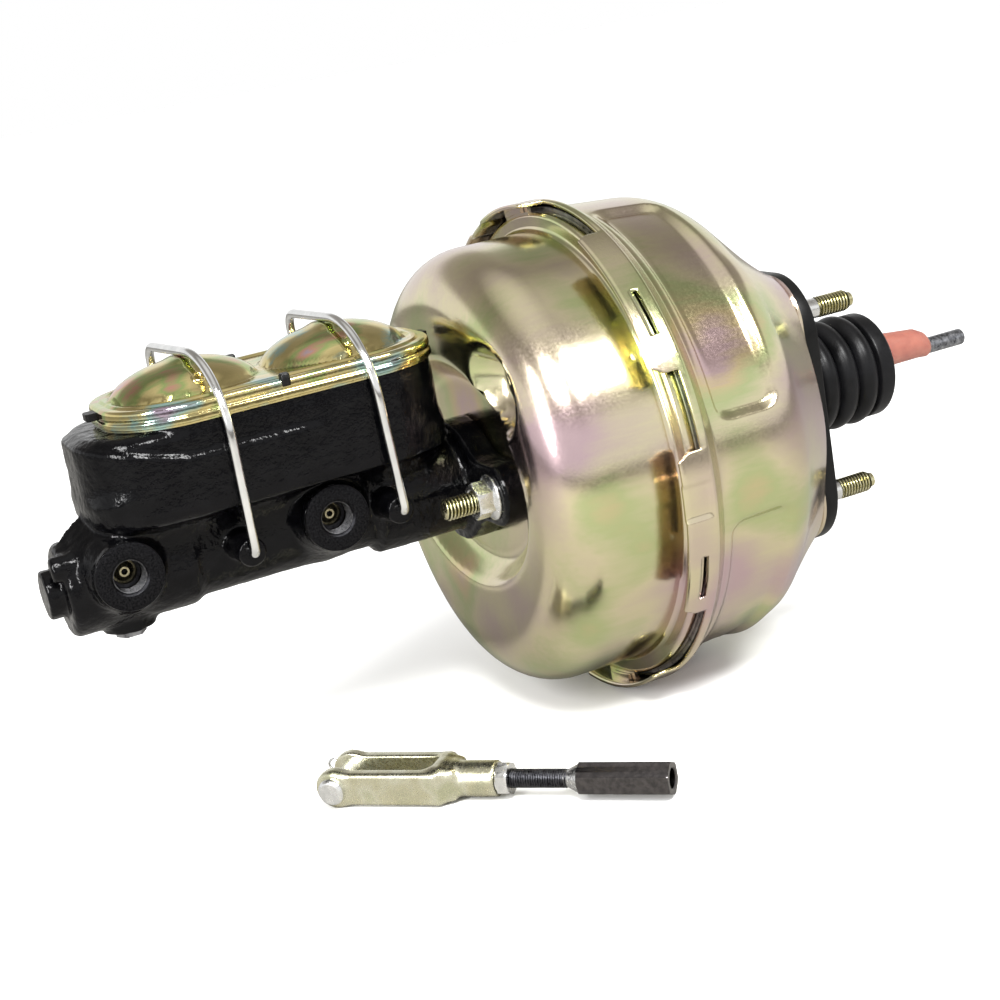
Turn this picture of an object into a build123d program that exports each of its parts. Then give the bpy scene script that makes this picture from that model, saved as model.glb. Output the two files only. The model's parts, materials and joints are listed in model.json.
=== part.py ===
from build123d import *
import math
import os

os.makedirs("parts", exist_ok=True)

# Tandem vacuum brake booster with its dual master cylinder, in millimetres.
# The origin is the centre of the firewall mounting face. +X points into the cabin along the
# pushrod, the master cylinder reaches towards -X, its ports face -Y, and +Z is up.
# A clock angle is 0 towards -Y, the ports' side, and 90 straight up.

# Firewall mount
FIREWALL_SQUARE = 85.72
STUD_R = 4.76
STUD_SHANK_R = 5.1
STUD_FIT = 0.15
STUD_HOLE_R = STUD_SHANK_R + STUD_FIT
FIREWALL_STUD_OUT = 25.8
STUD_HEAD_R = 8.5
STUD_HEAD_T = 2.0
GASKET_MARGIN = 16.74
GASKET_SIDE = FIREWALL_SQUARE + 2 * GASKET_MARGIN
GASKET_CORNER_R = 22.0
GASKET_T = 7.5
GASKET_FACE_X = -4.0
GASKET_HOLE_R = 28.0

# Sheet steel of both shells
STEEL = 1.6
SEAT_GAP = 0.3

# Rear shell
BACK_X = GASKET_FACE_X - GASKET_T
HUB_END_X = 10.0
HUB_R = 22.6
BACK_FLAT_R = GASKET_SIDE / 2 + 8.9
LIP_X = -110.0
LIP_R = 111.8
BAND_X = -96.0
BAND_STEP = 4.8
NECK_X = -90.0
NECK_R = LIP_R - BAND_STEP
SHOULDER_X = -48.4
SHOULDER_TAPER = 3.0
SHOULDER_R = NECK_R - SHOULDER_TAPER
BACK_RADII = [2.2, 9.0, 30.0, 3.0, 2.5]
PLATEAU_DEPTH = 26.0
PLATEAU_DRAFT = 32.0
PAD_FRONT_X = -86.0
PAD_BACK_X = -55.0
PAD_FRONT_DEPTH = 3.5
PAD_FRONT_R = NECK_R - PAD_FRONT_DEPTH
PAD_BACK_DEPTH = 2.4
PAD_BACK_R = SHOULDER_R - PAD_BACK_DEPTH
PAD_SPAN = 66.0
PAD_CLOCKS = [45, 135, 225, 315]
TEETH = 6
NOTCH_FLOOR_X = -99.0
NOTCH_CLOCK = 16.0
NOTCH_SPANS = [17.0, 26.0]
SLOT_CLOCK = 38.5
SLOT_SPAN = 11.0
SLOT_FRONT_X = -104.0
SLOT_BACK_X = -100.8
LANCE_T = 1.6
LANCE_SPAN = 9.0
STAKE_CLOCK = -3.3
STAKE_SPAN = 8.0
STAKE_BACK_X = -98.0
STAKE_DEPTH = 1.0

# Front shell
FACE_X = -160.7
FLANGE_X = -103.6
FLANGE_PLAY = 3.3
FLANGE_R = LIP_R - STEEL - FLANGE_PLAY
FLANGE_W = 8.1
FRONT_R = FLANGE_R - FLANGE_W
FRONT_CORNER_R = 25.0
SKIRT_X = -98.0
LUG_T = 1.6
LUG_SPAN = 13.0
MOUNT_X = -150.5
POCKET_MARGIN = 28.8
POCKET_Y = FRONT_R - POCKET_MARGIN
POCKET_Z = POCKET_Y - 13.0
POCKET_DRAFT = 8.0
DIMPLE_Y = POCKET_Y - 17.0
DIMPLE_Z = POCKET_Z - 11.0
DIMPLE_LONG = 23.0
DIMPLE_WIDE = 16.5
DIMPLE_DEPTH = 9.4
DIMPLE_DRAFT = 4.0

# Master cylinder mount on the front shell
MOUNT_PITCH = 85.72
MOUNT_STUD_OUT = 22.6
EAR_T = 13.0
NUT_T = 7.2
NUT_FLATS = 14.29
NUT_FLANGE_R = 9.8
NUT_FLANGE_T = 1.9
PLATE_T = 3.0
PLATE_Y = POCKET_Y - 10.0
PLATE_Z = POCKET_Z - 21.0
SEAL_CUP_R = 22.0
SEAL_CUP_T = 1.8
SEAL_CUP_DEPTH = 9.9

# Vacuum inlet on the far side
VALVE_HOLE_R = 8.6
GROMMET_R = 11.8
GROMMET_LIP = 2.2
VALVE_STEM_R = 6.0
VALVE_FIT = 0.06
VALVE_BODY_R = 7.6
ELBOW_X = -176.0
BARB_R = 4.8
BARB_LENGTH = 27.0
BARB_BORE_R = 3.0

# Chambers inside the shells
DIVIDER_T = 1.2
DIVIDER_X = -86.0
DIVIDER_RIM_R = LIP_R - 2 * STEEL
DIVIDER_RIM_W = 12.6
DIVIDER_BEND_R = DIVIDER_RIM_R - DIVIDER_RIM_W
DIVIDER_DISH_W = 8.0
DIVIDER_FLAT_R = DIVIDER_BEND_R - DIVIDER_DISH_W
DIVIDER_HUB_R = 31.0
DIVIDER_HUB_BACK_X = -78.0
PLATE_SHEET = 1.8
RUBBER = 1.5
FRONT_PLATE_R = DIVIDER_FLAT_R - 4.0
FRONT_PLATE_RIM = 6.0
PLATE_RIM_TAPER = 4.0
REAR_PLATE_R = DIVIDER_FLAT_R
REAR_PLATE_RIM_X = -50.0
REAR_PLATE_FLAT_R = 52.0
BEAD_CLEAR = 0.5
BEAD_R = FLANGE_R - STEEL - BEAD_CLEAR
BEAD_T = 3.6
BEAD_LIP = 2.0

# Power piston
NECK_TUBE_R = 18.0
NECK_END_X = 42.0
PISTON_R = 27.0
PISTON_HUB_R = 34.0
PISTON_HUB_BACK_X = -14.0
PISTON_HUB_FRONT_X = -20.0
PISTON_SHOULDER_X = -90.0
PISTON_FRONT_X = -96.0
SPIGOT_R = 24.0
VALVE_BORE_R = 14.5
VALVE_BORE_X = -15.0
PLUNGER_BORE_R = 9.6
DISC_R = 14.0
DISC_T = 6.0
KEY_X = -40.0
KEY_T = 3.0
KEY_W = 10.0
RUNNING = 0.05

# Output rod and its seal
OUTPUT_ROD_R = 6.0
OUTPUT_HEAD_T = 5.0
ROD_SEAL_R = 20.0
ROD_SEAL_T = 5.5

# Valve train and input rod
PLUNGER_R = PLUNGER_BORE_R - RUNNING
PLUNGER_FRONT_X = -87.5
PLUNGER_SEAT_X = -11.0
PLUNGER_SEAT_R = 11.5
PLUNGER_SEAT_T = 1.5
GROOVE_R = 6.0
BALL_X = -22.0
BALL_R = 6.0
BALL_FIT = 0.05
INPUT_ROD_R = 4.0
INPUT_NECK_R = 3.5
INPUT_TIP_X = 118.2
INPUT_TIP_CHAMFER = 0.8
SLEEVE_GROOVE_W = 0.8
SLEEVE_GROOVE_R = 3.7
POPPET_FRONT_X = PLUNGER_SEAT_X + SEAT_GAP
POPPET_T = 4.0
RETAINER_X = 6.0
RETAINER_T = 2.0
COLLAR_X = 20.0
COLLAR_T = 1.5
COLLAR_R = 9.5
FILTER_X = 24.0
FILTER_T = 15.0
FILTER_BORE_R = 7.2

# Boot and sleeve
BOOT_START_X = GASKET_FACE_X + SEAT_GAP
BOOT_END_X = 59.8
BOOT_CREST_R = 26.6
BOOT_ROOT_R = 22.4
BOOT_WALL = 1.8
BOOT_END_R = 25.4
BOOT_CUFF_T = 2.6
CREST_XS = [23.1, 34.0, 44.9]
CREST_HALF = 4.0
BOOT_CUFF_END = 9.5
ROOT_BEFORE = 4.25
END_BAND = 9.0
SLEEVE_START_X = 52.0
SLEEVE_BASE_R = 9.3
SLEEVE_BASE_Z = 4.8
SLEEVE_SHOULDER_X = 93.5
SLEEVE_SHOULDER_R = 7.0
SLEEVE_SHOULDER_Z = 2.8
SLEEVE_END_X = 99.5
SLEEVE_END_R = 5.0
SLEEVE_END_Z = 0.6

# Master cylinder casting
BORE_R = 12.7
SNOUT_R = 17.0
SNOUT_OUT = 7.0
NOSE_X = -339.5
NOSE_WALL = 5.0
BORE_END_X = NOSE_X + NOSE_WALL
NOSE_R = 20.0
NOSE_BACK_X = -285.0
NOSE_EDGE_R = 3.0
PLUG_X = -346.4
PLUG_R = 10.3
PIN_Y = -11.0
PIN_Z = 16.5
PIN_R = 5.2
PIN_OUT = 4.0
BARREL_R = 17.5
NECK_BOSS_R = 21.5
NECK_BOSS_X = -206.0
MOUNT_EAR_R = 13.5
HUB_DISC_R = 27.0
EAR_WEB = 19.0
PORT_XS = [-316.3, -227.8]
PORT_Y = -30.4
PORT_Z = 6.2
PORT_BOSS_R = 14.3
PORT_HOLE_R = 6.9
PORT_DEPTH = 10.0
SEAT_POCKET = 4.5
PORT_PASSAGE_R = 1.7
SEAT_R = 5.2
SEAT_T = 2.0
SEAT_NOSE_R = 2.1
SEAT_BORE_R = 1.2
STOP_X = -315.4
STOP_BOSS_R = 11.0
STOP_FACE_Z = -22.4
STOP_HEAD_R = 6.5
STOP_HEAD_T = 3.0
STOP_THREAD_R = 3.2

# Reservoir
TANK_FRONT_X = -324.6
TANK_BACK_X = -168.6
TANK_HALF = 37.0
TANK_CORNER_R = TANK_HALF - 7.0
TANK_FLOOR_Z = 27.0
TANK_SHOULDER_Z = 60.5
SHOULDER_EDGE_R = 6.0
KEEL_Z = 6.0
KEEL_HALF = 14.0
KEEL_INSET = 4.0
KEEL_CORNER_R = KEEL_HALF - 2
RIM_FRONT_X = -308.3
RIM_Z = 68.5
TANK_WALL = 4.5
TANK_INNER_Z = 32.0
TANK_SPLIT_X = -240.0
INTAKE_XS = [-288.5, -198.3]
INTAKE_R = 1.0

# Cover and gasket
GASKET_SHEET = 2.4
COVER_T = 1.2
COVER_GAP = 0.5
COVER_SKIRT_Z = 64.5
COVER_EDGE_R = 2.4
DOME_XS = [-272.0, -206.5]
DOME_LONG = 31.0
DOME_WIDE = TANK_HALF - 10.0
DOME_RISE = 9.4
SADDLE_HALF = 9.0
SADDLE_W = 3.0
SADDLE_DROP = 0.3
BELLOWS_DEPTH = 12.0
TAB_W = 8.0
TAB_OUT = 2.4
NUB_X = -240.1
NUB_RISE = 3.0
NUB_W = 6.0

# Wire bails
WIRE_R = 1.7
BAIL_PIVOT_Z = 3.7
BAIL_PIVOT_XS = [-267.5, -202.0]
BAIL_TOP_XS = [-270.2, -207.5]
BAIL_RADIUS = 81.6
BAIL_LEG_Y = TANK_HALF + 4.5
BAIL_END_Y = TANK_HALF - 6.0
BAIL_BEND_R = 8.0
BAIL_FOOT_R = 3.2
BAIL_BOSS_R = 6.0
BAIL_BOSS_Y = TANK_HALF
BAIL_FIT = 0.08

# Pistons in the bore
PISTON_OD = BORE_R - RUNNING
PRIMARY_BACK_X = -157.0
PRIMARY_FRONT_X = -192.0
PRIMARY_STEM_X = -201.0
SECONDARY_BACK_X = -243.0
SECONDARY_FRONT_X = -278.5
SECONDARY_STEM_X = -288.0
WAIST_R = 9.0
LAND_T = 5.0
CUP_T = 4.6
CUP_BACKING = 1.5
CUP_SEAT_R = 8.0
STEM_R = 5.0
SOCKET_R = 7.0
SOCKET_END_X = -180.0
RING_T = 1.4
RING_GROOVE = 1.3
RING_IN_R = 10.0

# Loose clevis and rod adapter, lying on the plane that the lip's lowest point touches
KIT_X = -254.2
KIT_Y = -27.3
KIT_YAW = -46.1
CLEVIS_EAR_R = 8.3
CLEVIS_W = 24.0
CLEVIS_SLOT = 12.7
CLEVIS_ARM_H = 14.4
CLEVIS_SLOT_END = 52.0
CLEVIS_BODY_END = 58.0
CLEVIS_NECK_R = 7.5
CLEVIS_END = 79.1
JAM_NUT_T = 5.3
KIT_HEX = 12.7
KIT_THREAD_R = 3.97
THREAD_START = 66.0
THREAD_END = 108.2
TAPER_END = 114.5
ADAPTER_END = 153.1
ADAPTER_BORE_R = 4.05
ADAPTER_BORE_DEPTH = 30.0
CLEVIS_PIN_R = 4.7
PIN_FIT = 0.08
PIN_HEAD_R = 5.8
PIN_HEAD_T = 3.0
PIN_TAIL = 5.0
CLIP_R = 1.2
CLIP_LENGTH = 17.0

# Springs: radius of the coil, radius of the wire, turns
RETURN_SPRING = (30.0, 1.6, 5)
POPPET_SPRING = (9.6, 0.6, 3)
ROD_SPRING = (8.6, 0.6, 4)
PRIMARY_SPRING = (9.0, 0.9, 5)
SECONDARY_SPRING = (9.0, 0.9, 5)


def station(x, y=0.0, z=0.0):
    """Plane square to the X axis, its own axes along +Y and +Z."""
    return Plane(origin=(x, y, z), x_dir=(0, 1, 0), z_dir=(1, 0, 0))


def turned(*points):
    """Solid of revolution about the X axis from (x, radius) corners."""
    return revolve(make_face(Polyline(*points, close=True)), Axis.X, 360)


def ring(x_low, x_high, r_in, r_out):
    """Plain ring about the X axis."""
    return turned((x_low, r_in), (x_high, r_in), (x_high, r_out), (x_low, r_out))


def sector(points, span, clock):
    """Part of a ring about the X axis, span degrees wide, centred on a clock angle."""
    face = make_face(Polyline(*points, close=True))
    return Rot(X=180 - clock - span / 2) * revolve(face, Axis.X, span)


def ring_sector(x_low, x_high, r_in, r_out, span, clock):
    """Ring sector with a rectangular section."""
    corners = [(x_low, r_in), (x_high, r_in), (x_high, r_out), (x_low, r_out)]
    return sector(corners, span, clock)


def bar(start, end, radius):
    """Round bar between two points."""
    axis = Vector(*end) - Vector(*start)
    return extrude(Plane(origin=start, z_dir=axis) * Circle(radius), axis.length)


def block(x, y, z):
    """Box from a (low, high) pair along each axis."""
    pairs = (x, y, z)
    middle = [(low + high) / 2 for low, high in pairs]
    return Pos(*middle) * Box(*[high - low for low, high in pairs])


def slab(x_low, x_high, half, corner, z_low, z_high):
    """Upright slab with a rounded oblong plan, centred on y = 0."""
    plan = RectangleRounded(x_high - x_low, 2 * half, corner)
    return extrude(Pos((x_low + x_high) / 2, 0, z_low) * plan, z_high - z_low)


def coil(x_low, x_high, radius, wire, turns):
    """Coil spring along X. Its wire is six-sided, to keep the facets few."""
    length = x_high - x_low - 2 * wire
    helix = Helix(length / turns, length, radius)
    section = Plane(origin=helix @ 0, z_dir=helix % 0) * RegularPolygon(wire, 6)
    spring = sweep(section, path=helix, is_frenet=True)
    return Pos(x_low + wire, 0, 0) * Rot(Y=90) * spring


def filled(path):
    """Solid of revolution of everything between a path and the X axis."""
    start, end = path @ 0, path @ 1
    corners = [end, (end.X, 0), (start.X, 0)]
    if start.Y > 0:
        corners.append(start)
    if end.Y <= 0:
        corners = corners[1:]
    closing = Polyline(*corners)
    return revolve(make_face([*path.edges(), *closing.edges()]), Axis.X, 360)


def sheet(path, thickness, side):
    """Revolved sheet of even thickness on one side of a path."""
    outline = path.offset_2d(thickness, side=side, closed=True)
    return revolve(make_face(outline), Axis.X, 360)


def firewall_points():
    """Centres of the four firewall studs, as (y, z)."""
    half = FIREWALL_SQUARE / 2
    return [(y, z) for y in (-half, half) for z in (-half, half)]


def mount_points():
    """Centres of the two master cylinder studs, as (y, z)."""
    return [(-MOUNT_PITCH / 2, 0), (MOUNT_PITCH / 2, 0)]


# Shells


def plateau(inset):
    """Square raised seat behind the gasket, blending into the cone."""
    side = GASKET_SIDE - 2 * inset
    plan = RectangleRounded(side, side, GASKET_CORNER_R - inset)
    back = station(BACK_X - inset) * plan
    return extrude(back, -PLATEAU_DEPTH, taper=-PLATEAU_DRAFT)


def pads(grow):
    """Four pressed pads round the rear shell, grown by the sheet for its inner side."""
    span = PAD_SPAN + 2 * math.degrees(grow / PAD_FRONT_R)
    front = (PAD_FRONT_X - grow, PAD_FRONT_R - grow)
    back = (PAD_BACK_X + grow, PAD_BACK_R - grow)
    far = LIP_R + STEEL
    corners = [front, back, (back[0], far), (front[0], far)]
    return [sector(corners, span, clock) for clock in PAD_CLOCKS]


def stakes(grow):
    """Square stakes pressed into every other tooth of the lip."""
    span = STAKE_SPAN + 2 * math.degrees(grow / LIP_R)
    depth = LIP_R - STAKE_DEPTH - grow
    back = STAKE_BACK_X + grow
    clocks = [STAKE_CLOCK + 120 * turn for turn in range(3)]
    return [ring_sector(LIP_X - STEEL, back, depth, LIP_R + STEEL, span, c) for c in clocks]


def lip_cuts():
    """Notches between the teeth and the slot behind each lanced tab."""
    cuts = []
    for tooth in range(TEETH):
        turn = 360 / TEETH * tooth
        span = NOTCH_SPANS[tooth % 2]
        low, high = NECK_R - STEEL, LIP_R + STEEL
        notch = ring_sector(LIP_X - STEEL, NOTCH_FLOOR_X, low, high, span, NOTCH_CLOCK + turn)
        slot_clock = SLOT_CLOCK + turn
        slot = ring_sector(SLOT_FRONT_X, SLOT_BACK_X, low, high, SLOT_SPAN, slot_clock)
        cuts += [notch, slot]
    return cuts


def lances():
    """Tabs bent inwards in front of each slot, which hold the front shell's lugs."""
    inner = FLANGE_R + SEAT_GAP
    outer = LIP_R - STEEL / 2
    front = SLOT_FRONT_X - LANCE_T
    clocks = [SLOT_CLOCK + 360 / TEETH * tooth for tooth in range(TEETH)]
    return [ring_sector(front, SLOT_FRONT_X, inner, outer, LANCE_SPAN, c) for c in clocks]


def rear_shell():
    points = [
        (HUB_END_X, HUB_R),
        (BACK_X, HUB_R),
        (BACK_X, BACK_FLAT_R),
        (SHOULDER_X, SHOULDER_R),
        (NECK_X, NECK_R),
        (BAND_X, LIP_R),
        (LIP_X, LIP_R),
    ]
    path = FilletPolyline(*points, radius=BACK_RADII)
    inner_path = path.offset_2d(STEEL, side=Side.LEFT, closed=False)
    outer = filled(path) + plateau(0)
    inner = filled(inner_path) + plateau(STEEL)
    shell = (outer - pads(0) - stakes(0)) - (inner - pads(STEEL) - stakes(STEEL))
    shell = shell - lip_cuts() + lances()
    for y, z in firewall_points():
        shell -= bar((BACK_X - 2 * STEEL, y, z), (BACK_X + 1, y, z), STUD_HOLE_R)
    return shell


def mount_pocket(grow):
    """Drafted oval recess that the master cylinder's flange sits in."""
    depth = MOUNT_X - FACE_X + grow
    mouth = Ellipse(POCKET_Y + grow, POCKET_Z + grow)
    floor = Ellipse(POCKET_Y - POCKET_DRAFT + grow, POCKET_Z - POCKET_DRAFT + grow)
    return loft([station(FACE_X) * mouth, station(FACE_X + depth) * floor])


def dimple(side, grow):
    """Oval dimple beside the recess, on the side given by the sign of y."""
    tilt = side * math.degrees(math.atan2(DIMPLE_Y, DIMPLE_Z))
    mouth = Rot(Z=-tilt) * Ellipse(DIMPLE_LONG + grow, DIMPLE_WIDE + grow)
    small = (DIMPLE_LONG - DIMPLE_DRAFT + grow, DIMPLE_WIDE - DIMPLE_DRAFT + grow)
    floor = Rot(Z=-tilt) * Ellipse(*small)
    at_mouth = station(FACE_X, side * DIMPLE_Y, DIMPLE_Z)
    at_floor = station(FACE_X + DIMPLE_DEPTH + grow, side * DIMPLE_Y, DIMPLE_Z)
    return loft([at_mouth * mouth, at_floor * floor])


def lugs():
    """Lugs on the flange that lock behind the rear shell's lanced tabs."""
    front = SLOT_FRONT_X + SEAT_GAP
    outer = LIP_R - STEEL - SEAT_GAP
    inner = FLANGE_R - STEEL / 2
    clocks = [SLOT_CLOCK + 360 / TEETH * tooth for tooth in range(TEETH)]
    return [ring_sector(front, front + LUG_T, inner, outer, LUG_SPAN, c) for c in clocks]


def front_shell():
    points = [
        (FACE_X, 0),
        (FACE_X, FRONT_R),
        (FLANGE_X, FRONT_R),
        (FLANGE_X, FLANGE_R),
        (SKIRT_X, FLANGE_R),
    ]
    path = FilletPolyline(*points, radius=[FRONT_CORNER_R, 2.5, 2.0])
    inner_path = path.offset_2d(STEEL, side=Side.RIGHT, closed=False)
    dents = [mount_pocket(0), dimple(-1, 0), dimple(1, 0)]
    dents_behind = [mount_pocket(STEEL), dimple(-1, STEEL), dimple(1, STEEL)]
    shell = (filled(path) - dents) - (filled(inner_path) - dents_behind)
    shell += lugs()
    shell -= bar((FACE_X, 0, 0), (MOUNT_X + 2 * STEEL, 0, 0), SNOUT_R + SEAT_GAP)
    for y, z in mount_points():
        shell -= bar((FACE_X, y, z), (MOUNT_X + 2 * STEEL, y, z), STUD_HOLE_R)
    valve_end = FACE_X + DIMPLE_DEPTH + 2 * STEEL
    shell -= bar((FACE_X, DIMPLE_Y, DIMPLE_Z), (valve_end, DIMPLE_Y, DIMPLE_Z), VALVE_HOLE_R)
    return shell


def stud(x_root, x_seat, x_tip, y, z):
    """Stud with its head at the root, a thicker shank up to the seat and a chamfered tip."""
    way = 1 if x_tip > x_root else -1
    shank = bar((x_root, y, z), (x_tip, y, z), STUD_R)
    tip = shank.edges().sort_by(Axis.X)[-1 if way > 0 else 0]
    shank = chamfer(tip, 1.0)
    shank += bar((x_root, y, z), (x_seat, y, z), STUD_SHANK_R)
    head = bar((x_root - way * STUD_HEAD_T, y, z), (x_root, y, z), STUD_HEAD_R)
    return shank + head


def rear_plate_front_x():
    """Front face of the plate that the firewall studs are headed on."""
    return BACK_X - STEEL - PLATE_T


def firewall_studs():
    root = rear_plate_front_x()
    return [stud(root, GASKET_FACE_X, FIREWALL_STUD_OUT, y, z) for y, z in firewall_points()]


def rear_stud_plate():
    """Square plate inside the rear shell that spreads the studs' load."""
    side = FIREWALL_SQUARE + 2 * STUD_HEAD_R + 2
    corner = GASKET_CORNER_R - 7
    plate = extrude(station(rear_plate_front_x()) * RectangleRounded(side, side, corner), PLATE_T)
    plate -= bar((rear_plate_front_x() - 1, 0, 0), (BACK_X, 0, 0), PISTON_HUB_R + 4)
    for y, z in firewall_points():
        plate -= bar((rear_plate_front_x() - 1, y, z), (BACK_X, y, z), STUD_HOLE_R)
    return plate


def front_plate_back_x():
    """Rear face of the plate that the master cylinder studs are headed on."""
    return MOUNT_X + STEEL + PLATE_T


def master_cylinder_studs():
    tip = MOUNT_X - EAR_T - MOUNT_STUD_OUT
    return [stud(front_plate_back_x(), MOUNT_X, tip, y, z) for y, z in mount_points()]


def front_stud_plate():
    """Oval plate inside the front shell with the cup that holds the rod seal."""
    back = front_plate_back_x()
    front = MOUNT_X + STEEL
    plate = extrude(station(front) * Ellipse(PLATE_Y, PLATE_Z), PLATE_T)
    cup_end = back + SEAL_CUP_DEPTH
    cup_in = SEAL_CUP_R - SEAL_CUP_T
    plate += ring(front, cup_end, cup_in, SEAL_CUP_R)
    plate -= bar((front - 1, 0, 0), (back + 1, 0, 0), cup_in)
    for y, z in mount_points():
        plate -= bar((front - 1, y, z), (back + 1, y, z), STUD_HOLE_R)
    return plate


def flange_nut(y, z):
    face = MOUNT_X - EAR_T
    hex_r = NUT_FLATS / math.sqrt(3)
    flange = bar((face, y, z), (face - NUT_FLANGE_T, y, z), NUT_FLANGE_R)
    flange = chamfer(flange.edges().sort_by(Axis.X)[0], NUT_FLANGE_T * 0.6)
    body = extrude(station(face, y, z) * RegularPolygon(hex_r, 6, rotation=90), -NUT_FLANGE_T - NUT_T)
    nut = flange + body
    return nut - bar((face + 1, y, z), (face - NUT_T - 5, y, z), STUD_R + STUD_FIT)


def flange_nuts():
    return [flange_nut(y, z) for y, z in mount_points()]


def firewall_gasket():
    pad = extrude(station(BACK_X) * RectangleRounded(GASKET_SIDE, GASKET_SIDE, GASKET_CORNER_R), GASKET_T)
    pad -= bar((BACK_X - 1, 0, 0), (GASKET_FACE_X + 1, 0, 0), GASKET_HOLE_R)
    for y, z in firewall_points():
        pad -= bar((BACK_X - 1, y, z), (GASKET_FACE_X + 1, y, z), STUD_HOLE_R)
    return pad


# Vacuum inlet


def valve_grommet():
    """Grooved rubber grommet in the floor of the far dimple."""
    floor = FACE_X + DIMPLE_DEPTH
    bore = VALVE_STEM_R + VALVE_FIT
    corners = [
        (floor - GROMMET_LIP, bore),
        (floor + STEEL + GROMMET_LIP, bore),
        (floor + STEEL + GROMMET_LIP, GROMMET_R),
        (floor + STEEL, GROMMET_R),
        (floor + STEEL, VALVE_HOLE_R),
        (floor, VALVE_HOLE_R),
        (floor, GROMMET_R),
        (floor - GROMMET_LIP, GROMMET_R),
    ]
    return Pos(0, DIMPLE_Y, DIMPLE_Z) * turned(*corners)


def check_valve():
    """Check valve elbow: stem through the grommet, drum, and a barbed hose end along +Y."""
    floor = FACE_X + DIMPLE_DEPTH
    stem_end = floor + STEEL + GROMMET_LIP + 4
    shoulder = floor - GROMMET_LIP - SEAT_GAP
    valve = turned(
        (ELBOW_X - BARB_R, 0),
        (stem_end, 0),
        (stem_end, VALVE_STEM_R),
        (shoulder, VALVE_STEM_R),
        (shoulder, VALVE_BODY_R),
        (shoulder - 9, VALVE_BODY_R),
        (shoulder - 11, BARB_R),
        (ELBOW_X - BARB_R, BARB_R),
    )
    valve += Pos(ELBOW_X, 0, 0) * hose_barb()
    valve -= bar((ELBOW_X, 0, 0), (stem_end + 1, 0, 0), BARB_BORE_R)
    valve -= bar((ELBOW_X, 0, 0), (ELBOW_X, BARB_LENGTH + 1, 0), BARB_BORE_R)
    return Pos(0, DIMPLE_Y, DIMPLE_Z) * valve


def hose_barb():
    """Barbed hose end along +Y, with three ridges."""
    barb = bar((0, 0, 0), (0, BARB_LENGTH, 0), BARB_R - 0.6)
    for ridge in range(3):
        y = BARB_LENGTH - 4 * (ridge + 1)
        wide = Plane(origin=(0, y, 0), z_dir=(0, 1, 0)) * Circle(BARB_R)
        narrow = Plane(origin=(0, y + 3.4, 0), z_dir=(0, 1, 0)) * Circle(BARB_R - 0.6)
        barb += loft([wide, narrow])
    return barb


# Inside the chambers


def center_divider():
    """Dished wall between the chambers, clamped at the lip, with a hub tube."""
    hub = DIVIDER_HUB_R + DIVIDER_T
    rim_x = SKIRT_X + DIVIDER_T
    points = [
        (DIVIDER_HUB_BACK_X, hub),
        (DIVIDER_X, hub),
        (DIVIDER_X, DIVIDER_FLAT_R),
        (rim_x, DIVIDER_BEND_R),
        (rim_x, DIVIDER_RIM_R),
    ]
    path = FilletPolyline(*points, radius=[2.0, 6.0, 3.0])
    return sheet(path, DIVIDER_T, Side.LEFT)


def divider_seal():
    """Lip seal pressed in the divider's hub, sliding on the power piston."""
    front = DIVIDER_X + 0.6
    return ring(front, DIVIDER_HUB_BACK_X - 0.6, PISTON_R + RUNNING, DIVIDER_HUB_R)


def front_plate():
    """Front support plate on the power piston's spigot."""
    points = [
        (PISTON_SHOULDER_X, SPIGOT_R),
        (PISTON_SHOULDER_X, FRONT_PLATE_R - PLATE_RIM_TAPER),
        (PISTON_SHOULDER_X - FRONT_PLATE_RIM, FRONT_PLATE_R),
    ]
    return sheet(FilletPolyline(*points, radius=3.0), PLATE_SHEET, Side.LEFT)


def rear_plate():
    """Dished rear support plate, against the power piston's hub."""
    points = [
        (PISTON_HUB_FRONT_X, PISTON_R),
        (PISTON_HUB_FRONT_X, REAR_PLATE_FLAT_R),
        (REAR_PLATE_RIM_X, REAR_PLATE_R),
    ]
    return sheet(FilletPolyline(*points, radius=8.0), PLATE_SHEET, Side.LEFT)


def front_diaphragm():
    """Rolling rubber diaphragm behind the front plate, beaded at the front shell's flange."""
    face = PISTON_SHOULDER_X
    bead_x = FLANGE_X + STEEL
    points = [
        (face, PISTON_R + 2),
        (face, FRONT_PLATE_R + 1.0),
        (face - 15, FRONT_PLATE_R + 7),
        (face - 18, FRONT_PLATE_R + 9.5),
        (bead_x - 1.5, FRONT_PLATE_R + 11.5),
        (bead_x + 1.2, DIVIDER_BEND_R + 3.5),
    ]
    skin = sheet(FilletPolyline(*points, radius=[3.0, 1.2, 1.2, 1.5]), RUBBER, Side.RIGHT)
    bead = ring(bead_x + SEAT_GAP, bead_x + BEAD_T, DIVIDER_BEND_R + 3.2, BEAD_R)
    return skin + bead


def rear_diaphragm():
    """Rolling rubber diaphragm behind the rear plate, beaded behind the divider's rim."""
    face = PISTON_HUB_FRONT_X
    bead_x = SKIRT_X + DIVIDER_T
    points = [
        (face, PISTON_HUB_R + 1),
        (face, REAR_PLATE_FLAT_R),
        (REAR_PLATE_RIM_X + 1, REAR_PLATE_R + 0.4),
        (REAR_PLATE_RIM_X - 6, DIVIDER_BEND_R - 1.5),
        (bead_x + BEAD_T - 0.3, DIVIDER_BEND_R - 1.5),
        (bead_x + BEAD_T - 0.3, DIVIDER_BEND_R + 3.5),
    ]
    skin = sheet(FilletPolyline(*points, radius=[8.0, 3.0, 3.0, 1.6]), RUBBER, Side.RIGHT)
    bead = ring(bead_x, bead_x + BEAD_T, DIVIDER_BEND_R + 2.2, BEAD_R + BEAD_LIP)
    return skin + bead


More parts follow.
